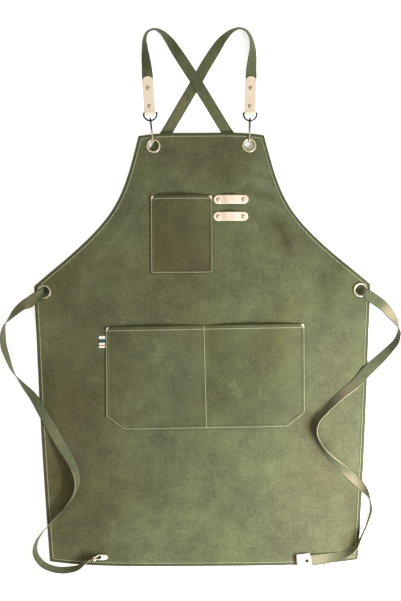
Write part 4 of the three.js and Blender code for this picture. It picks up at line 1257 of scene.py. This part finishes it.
class APRON_OT_leather(bpy.types.Operator):
    """Adds the folded strap tabs and tie tips, and the bowed pen tabs"""

    bl_idname = "apron.leather"
    bl_label = "Leather"

    def execute(self, context):
        for side in SIDES:
            for kind, spec in ENDS.items():
                self.add_fold(kind, spec, side)
        for level, (x, y) in PEN_TABS.items():
            self.add_pen_tab(level, x, y)
        return {"FINISHED"}

    def add_fold(self, kind, spec, side):
        """A strip folded round a loop over both faces of the band.

        Its outer and inner faces run from the free end along the band, part over a neck, and go
        half a turn round the loop and back. The free end is half an ellipse, and a slanted strip
        is sheared along the band, more towards the loop.
        """
        end_rows, leaf_rows, bend_rows, columns = 14, 44, 24, 17
        first_turn, edge_round, edge_power = 0.06, 0.9, 18
        edge_pale, edge_fade, fold_highlight, fold_highlight_reach = 1.6, 0.6, 0.8, 5
        loop, leather = spec["loop"], spec["leather"]
        centre = spec["length"] - loop - leather
        round_end = spec["end"] * (1 - np.cos(np.linspace(first_turn, math.pi / 2, end_rows)))
        leaf = np.concatenate([round_end, np.linspace(spec["end"], centre, leaf_rows)[1:]])
        bend = np.linspace(0, math.pi, bend_rows)[1:-1]
        x = np.concatenate([leaf, np.full(len(bend), centre), leaf[::-1]])[:, None]
        turn = np.concatenate([np.zeros(len(leaf)), bend, np.full(len(leaf), math.pi)])[:, None]
        share = crowded(columns)[None]
        half = spec["width"] / 2 * quarter_round(x, spec["end"])
        across = half * share
        soft = np.sqrt(1 - np.abs(share) ** edge_power) * quarter_round(x, edge_round)
        parted = SLOT + (loop - SLOT) * smooth_step(x, centre - spec["neck"] * loop, centre)
        sheared = spec["slant"][side] * (across - half) * smooth_step(x, 0, centre)
        faces = []
        for way in (1, -1):
            out = parted + leather * (0.5 + way * 0.5 * soft)
            faces += layers(x + out * np.sin(turn) + sheared, across, out * np.cos(turn))
        points, quads, used = shell(*faces)
        points = in_frame(points, *band_end(side, kind))
        piece = add_piece(
            f"{spec['piece']}_{side}", points, quads, natural_leather(), "leather", [f"{spec['node']}_{side}"]
        )
        # Cut edges are pale. Near the loop the grain is painted paler, a highlight on the curve of the fold,
        # and an end's pale value paints at least that share of the pale colour over the whole piece, light on
        # the tips' faces that lie in shade.
        fold_lit = fold_highlight * smooth_step(x, centre - fold_highlight_reach, centre)
        pale = np.maximum(edge_pale * (1 - soft) ** edge_fade, fold_lit)
        store(piece, "cut_edge", np.clip(pale, spec["pale"][side], 1), used)
        from_rivets = [np.hypot(x - place, across) for place in spec["rivets"]]
        store(piece, "pressed", pressed_at(np.minimum.reduce(from_rivets)), used)

    def add_pen_tab(self, level, x, y):
        """A strip with half-round ends that stands up between its rivets, level in its middle."""
        end_rows, middle_rows, columns, last_turn = 14, 60, 19, 0.05
        length, width, leather = (PEN_TAB[key] for key in ("length", "width", "leather"))
        end = (length - width) / 2
        ends = end + width / 2 * np.sin(np.linspace(0, math.pi / 2 - last_turn, end_rows))
        along = np.concatenate([-ends[::-1], np.linspace(-end, end, middle_rows)[1:-1], ends])[:, None]
        past = np.maximum(0, np.abs(along) - end) / (width / 2)
        half = width / 2 * np.sqrt(1 - past ** 2)
        share = crowded(columns)[None]
        inset = np.minimum(half * (1 - np.abs(share)), length / 2 - np.abs(along))
        soft = quarter_round(inset, PEN_TAB["round"])
        place_x, place_y = np.broadcast_arrays(x + along, y + half * share)
        bow = PEN_TAB["bow"] * mound(np.abs(along), *PEN_TAB["ramp"])
        middle = canvas_top(place_x, place_y) + GAP + bow + leather / 2
        edge = leather / 2 * soft
        points, quads, used = shell(*layers(place_x, place_y, middle + edge, middle - edge))
        piece = add_piece(
            f"pen_strip_{level}", points, quads, natural_leather(), "leather", [f"pen_tab_{level}"]
        )
        store(piece, "cut_edge", mound(inset, *PEN_TAB["cut_pale"]), used)
        from_rivet = np.hypot(np.abs(along) - PEN_TAB["rivet"], half * share)
        store(piece, "pressed", pressed_at(from_rivet), used)


class APRON_OT_metal(bpy.types.Operator):
    """Adds the eyelets, rivets, D-rings and links"""

    bl_idname = "apron.metal"
    bl_label = "Metal"

    def execute(self, context):
        for side, way in SIDES.items():
            for level, eyelet in EYELETS.items():
                self.add_eyelet(eyelet, level, side, way)
            self.add_ring(side)
            self.add_link(side, way)
            for kind, spec in ENDS.items():
                self.add_end_rivets(kind, spec, side)
        for level, (x, y) in PEN_TABS.items():
            for side, way in SIDES.items():
                place = x + way * PEN_TAB["rivet"]
                seat = float(canvas_top(np.array([place]), np.array([y]))[0]) + GAP + PEN_TAB["leather"]
                cap = (np.array([place, y, seat]), UP)
                self.add_rivet(f"pen_rivet_{level}_{side}", [cap], np.array([1.0, 0, 0]), PEN_TAB["tarnish_and_shade"])
        return {"FINISHED"}

    def add_end_rivets(self, kind, spec, side):
        """The rivets of a tab or tip, each with a cap on both of its faces."""
        start, (heading, _, up) = band_end(side, kind)
        seat = SLOT + spec["leather"]
        for k, place in enumerate(spec["rivets"]):
            number = f"_{k + 1}" if len(spec["rivets"]) > 1 else ""
            caps = [(start + heading * place + up * seat * face, up * face) for face in (1, -1)]
            self.add_rivet(f"{kind}_rivet_{side}{number}", caps, heading, spec["tarnish_and_shade"])

    def add_rivet(self, node, caps, heading, tarnish_and_shade):
        """Domed caps: a flat brim, a rounded shoulder and a low dome, turned round each cap's axis."""
        dome_points, sides = 9, 28
        radius, brim = RIVET["cap"], RIVET["brim"]
        angle = np.linspace(0, math.pi / 2, dome_points)
        dome = np.column_stack([
            radius * np.cos(angle) ** RIVET["round_power"], RIVET["shoulder"] + RIVET["dome"] * np.sin(angle),
        ])
        profile = np.concatenate([[[0, -brim], [radius - brim, -brim], [radius, 0]], dome])
        rings = turned(profile, sides)
        index = np.arange(rings.shape[0] * rings.shape[1]).reshape(rings.shape[:2])
        ahead = np.roll(index, -1, axis=0)
        quads = np.stack([index[:, :-1], ahead[:, :-1], ahead[:, 1:], index[:, 1:]], axis=-1).reshape(-1, 4)
        points = np.concatenate([
            in_frame(rings.reshape(-1, 3), place, (heading, np.cross(up, heading), up)) for place, up in caps
        ])
        faces = [quads + k * index.size for k in range(len(caps))]
        piece = add_piece(f"cap_{node}", points, faces, brass(), "brass", [node], weld=True)
        # Painted dark reflection: the cap is darker round its brim, most on one side.
        place, up = caps[0]
        corners = np.empty(3 * len(piece.data.vertices), np.float32)
        piece.data.vertices.foreach_get("co", corners)
        out = ((corners.reshape(-1, 3) - CUT_ORIGIN) / MM - place) / radius
        rim = smooth_step(np.linalg.norm(np.cross(out, up), axis=1), *RIVET["dark_reflection_from"])
        painted_dark = np.clip(RIVET["dark_reflection_round"] + RIVET["dark_reflection_side"] * out @ REFLECTED_DARK_SIDE, 0, 1)
        store(piece, "tarnish_and_shade", tarnish_and_shade + (1 - tarnish_and_shade) * rim * painted_dark)

    def add_eyelet(self, eyelet, level, side, way):
        """A rolled ring: a half-round front flange, a barrel and a thin flat back flange."""
        bore, front, back = EYELET["bore"], EYELET["front"], EYELET["back"]
        roll_points, sides = 19, 56
        face = eyelet["cloth"] + EYELET["seat"]
        angle = np.linspace(0, math.pi, roll_points)
        centre, reach = (bore + front) / 2, (front - bore) / 2
        crown = face + EYELET["lip"] + EYELET["crown"] * np.sin(angle) ** EYELET["roll_power"]
        # The profile goes over the front flange, down the bore, round the back flange and up again.
        profile = np.concatenate([
            np.column_stack([centre + reach * np.cos(angle), crown]),
            [[bore, face - 0.6], [bore, -0.4], [bore + 0.2, -0.8], [bore + 0.7, -1.0], [back - 0.4, -1.0],
             [back, -0.8], [back, -0.4], [back - 0.3, -0.2], [bore + 0.9, -0.2], [bore + 0.8, 0.1],
             [bore + 0.8, face], [front - 0.3, face]],
        ])
        points, faces = swept(turned(profile, sides), closed=True)
        points = points + [way * eyelet["x"], eyelet["y"], eyelet["lift"]]
        nodes = [f"eyelet_{level}_{side}"]
        piece = add_piece(f"grommet_{level}_{side}", points, faces, brass(), "brass", nodes)
        # Painted shade: the ring is darker in the corners between the flange, the cloth and the bore, where
        # the barrel's shadow lies, and over the whole ring by its side's value.
        corner = np.minimum(profile[:, 0] - bore, front - profile[:, 0])
        painted_dark = np.maximum(eyelet["tarnish_and_shade"][side], EYELET["painted_dark"] * mound(corner, *EYELET["painted_dark_reach"]))
        store(piece, "tarnish_and_shade", np.tile(painted_dark, len(points) // len(painted_dark)))

    def add_ring(self, side):
        """A D of wire: half an ellipse below a bar whose corners are a squared curve."""
        fine, count = 6000, 180
        bar, (outwards, across, up) = ring_bar(side)
        angle = full_turn(fine)
        c, s = np.cos(angle), np.sin(angle)
        half, depth, shoulder = (D_RING[key] for key in ("half_width", "depth", "shoulder"))
        power = D_RING["squareness"]
        x = np.where(s <= 0, half * c, half * np.sign(c) * np.abs(c) ** power)
        y = np.where(s <= 0, (depth - shoulder) * s - shoulder, shoulder * (np.abs(s) ** power - 1))
        line = evened(np.column_stack([x, y, 0 * x]), count)
        points, faces = swept(wire_rings(line, UP, D_RING["wire"]), closed=True)
        points = in_frame(points, bar, (across, -outwards, up))
        add_piece(f"dee_{side}", points, faces, gunmetal(), "gunmetal", [f"d_ring_{side}"])

    def add_link(self, side, way):
        """An upright loop: two straight strands joined by half circles, from the eyelet to the D-ring."""
        fine, count = 400, 140
        bar, (outwards, _, _) = ring_bar(side)
        end = LINK["end"]
        eyelet = np.array([way * EYELETS["top"]["x"], EYELETS["top"]["y"], 0.0])
        across = bar + outwards * D_RING["depth"] - eyelet
        across[2] = 0
        reach = np.linalg.norm(across) + LINK["past_ring"] - LINK["past_eyelet"] - 2 * end
        heading = unit(across)
        start = eyelet + heading * (LINK["past_eyelet"] + end)
        start[2] = LINK["low"] + end
        angle = np.linspace(0, math.pi, fine)
        far = np.column_stack([reach + end * np.sin(angle), 0 * angle, -end * np.cos(angle)])
        near = np.column_stack([-end * np.sin(angle), 0 * angle, end * np.cos(angle)])
        line = evened(np.concatenate([far, near]), count)
        rings, faces = swept(wire_rings(line, np.array([0, 1.0, 0]), LINK["wire"]), closed=True)
        sideways = np.array([-heading[1], heading[0], 0.0])
        points = in_frame(rings, start, (heading, sideways, UP))
        piece = add_piece(f"hook_{side}", points, faces, brass(), "brass", [f"link_{side}"])
        # Painted shade: the far end, by the D-ring, is painted darker, for shade and dark reflection.
        share = (rings[:, 0] - rings[:, 0].min()) / np.ptp(rings[:, 0])
        store(piece, "tarnish_and_shade", smooth_step(share, *LINK["dark_from"]))


class APRON_OT_stitching(bpy.types.Operator):
    """Adds the stitches of the hems and pockets, and the bar tacks"""

    bl_idname = "apron.stitching"
    bl_label = "Stitching"

    def execute(self, context):
        cloth = context.scene.apron_cloth
        pitch, width = cloth.pitch / MM, cloth.thread_width / MM
        thread = sewing_thread("Twisted cotton thread", tuple(cloth.thread))
        add_piece("hem_stitches", *joined_bars(stitches(self.hem_path(), pitch, width)), thread)
        tack_thread = sewing_thread("Glazed tacking thread", tuple(cloth.tack))
        for name, pocket in POCKETS.items():
            seams = [stitches(path, pitch, width) for path in self.pocket_paths(pocket)]
            add_piece(f"{name}_pocket_stitches", *joined_bars(np.concatenate(seams)), thread)
            tacks = [stitches(path, TACK["longest"], TACK["thread"]) for path in self.tack_paths(pocket)]
            add_piece(f"{name}_pocket_tacks", *joined_bars(np.concatenate(tacks)), tack_thread)
        return {"FINISHED"}

    def hem_path(self):
        """A closed line the hem's stitch distance in from the body's outline."""
        side_points, top_points, foot_points = 700, 150, 300
        inset = HEM["stitch"]
        rows = np.linspace(-SKIRT["length"] + inset, BIB["height"] - inset, side_points)
        edge_y = rows + row_bow(rows, 1.0)
        half = half_width(edge_y, inset)
        share = half / half_width(edge_y)
        side = np.column_stack([half, rows + row_bow(rows, share)])
        across = np.linspace(half[-1], -half[-1], top_points)[1:-1]
        top = np.column_stack([across, rows[-1] + row_bow(rows[-1], across / half_width(edge_y[-1]))])
        along = np.linspace(-half[0], half[0], foot_points)[1:-1]
        foot = np.column_stack([along, rows[0] + row_bow(rows[0], along / half_width(edge_y[0]))])
        path = np.concatenate([side, top, side[::-1] * [-1, 1], foot, side[:1]])
        height = canvas_top(path[:, 0], path[:, 1]) + HEM["rise"] - HEM["thread_sunk"]
        return np.column_stack([path, height])

    def on_pocket(self, pocket, corners):
        """A line through corners, laid on the pocket's front with a point every 1.5 mm."""
        corners = np.array(corners, float)
        run = running(corners)
        even = np.linspace(0, run[-1], max(3, int(run[-1] / 1.5)))
        x, y = (np.interp(even, run, column) for column in corners.T)
        return np.column_stack([x, hung(pocket, x, y), pocket_faces(pocket, x, y)[1]])

    def pocket_paths(self, pocket):
        """The seam round a pocket's sides and foot, the line under its mouth, and any divider."""
        inset = SEAM["stitch"]
        left, right = pocket["left"] + inset, pocket["right"] - inset
        foot, top = pocket["bottom"] + inset, pocket["top"] - SEAM["below_top"]
        cut_x, cut_y = (max(0, pocket[key] - inset) for key in ("cut_x", "cut_y"))
        mouth = pocket["top"] - pocket["mouth"]
        paths = [
            [[left, top], [left, foot + cut_y], [left + cut_x, foot], [right - cut_x, foot],
             [right, foot + cut_y], [right, top]],
            [[left, mouth], [right, mouth]],
        ]
        if pocket["divider"]:
            middle = (pocket["left"] + pocket["right"]) / 2
            at_mouth, at_foot = pocket["divider"]
            paths.append([[middle + at_mouth, top], [middle + at_foot, foot]])
        return [self.on_pocket(pocket, path) for path in paths]

    def tack_paths(self, pocket):
        """A satin-stitched triangle at each corner of a pocket's mouth, each stitch shorter than the last."""
        paths = []
        for side, way in SIDES.items():
            size = TACK["size"][side]
            for row in range(TACK["stitches"]):
                near = pocket[side] - way * TACK["inset"]
                far = pocket[side] - way * size * (TACK["longest"] - TACK["shorter"] * row)
                y = pocket["top"] - TACK["drop"] - TACK["apart"] * size * row
                paths.append([[near, y], [far, y]])
        return [self.on_pocket(pocket, path) for path in paths]


class APRON_OT_label(bpy.types.Operator):
    """Adds the folded tape label at the lower pocket's side"""

    bl_idname = "apron.label"
    bl_label = "Label"

    def execute(self, context):
        """A flat grid on the canvas, closer to its fold and its ends, where it is rounded."""
        columns, even_rows, end_rows = 16, 24, [0, 0.1, 0.3]
        right, out, bottom = LABEL["right"], LABEL["out"], LABEL["bottom"]
        height = LABEL["top"] - bottom
        across = right - out * np.sin(np.linspace(0, math.pi / 2, columns))[::-1]
        even = np.linspace(LABEL["round"], height - LABEL["round"], even_rows)
        up = np.concatenate([end_rows, even])
        x, y = np.meshgrid(across, bottom + np.unique(np.concatenate([up, height - up])))
        inset = np.minimum(x - (right - out), np.minimum(y - bottom, LABEL["top"] - y))
        edge = LABEL["thickness"] / 2 * quarter_round(inset, LABEL["round"])
        middle = canvas_top(x, y) + GAP + LABEL["thickness"] / 2
        points, faces, used = shell(*layers(x, y, middle + edge, middle - edge))
        piece = add_piece("tape_label", points, faces, woven_tape(), "label", ["side_label"])
        store(piece, "tape", (y - bottom) / height, used)
        return {"FINISHED"}


OPERATORS = (
    APRON_OT_stage, APRON_OT_body, APRON_OT_pockets, APRON_OT_straps, APRON_OT_leather, APRON_OT_metal,
    APRON_OT_stitching, APRON_OT_label,
)


class APRON_PT_sidebar(bpy.types.Panel):
    """The apron's settings and its pieces in building order"""

    bl_label = "Chef apron"
    bl_idname = "APRON_PT_sidebar"
    bl_space_type = "VIEW_3D"
    bl_region_type = "UI"
    bl_category = "Apron"

    def draw(self, context):
        """Lists every setting, and then a button for every operator."""
        layout = self.layout
        for group in (context.scene.apron_cloth, context.scene.apron_fittings, context.scene.apron_stage):
            for name in group.__annotations__:
                layout.prop(group, name)
        for operator in OPERATORS:
            layout.operator(operator.bl_idname)


SETTINGS = {
    "apron_cloth": ApronClothSettings,
    "apron_fittings": ApronFittingSettings,
    "apron_stage": ApronStageSettings,
}
CLASSES = (*SETTINGS.values(), *OPERATORS, APRON_PT_sidebar)


def register():
    """Adds the classes to Blender, and the settings to its scenes."""
    for cls in CLASSES:
        bpy.utils.register_class(cls)
    for name, group in SETTINGS.items():
        setattr(bpy.types.Scene, name, PointerProperty(type=group))


def unregister():
    """Takes away what register() adds, in the opposite order."""
    for name in SETTINGS:
        delattr(bpy.types.Scene, name)
    for cls in reversed(CLASSES):
        bpy.utils.unregister_class(cls)


def main():
    """Builds the stage and every piece."""
    register()
    bpy.ops.apron.stage()
    bpy.ops.apron.body()
    bpy.ops.apron.pockets()
    bpy.ops.apron.straps()
    bpy.ops.apron.leather()
    bpy.ops.apron.metal()
    bpy.ops.apron.stitching()
    bpy.ops.apron.label()


if __name__ == "__main__":
    main()
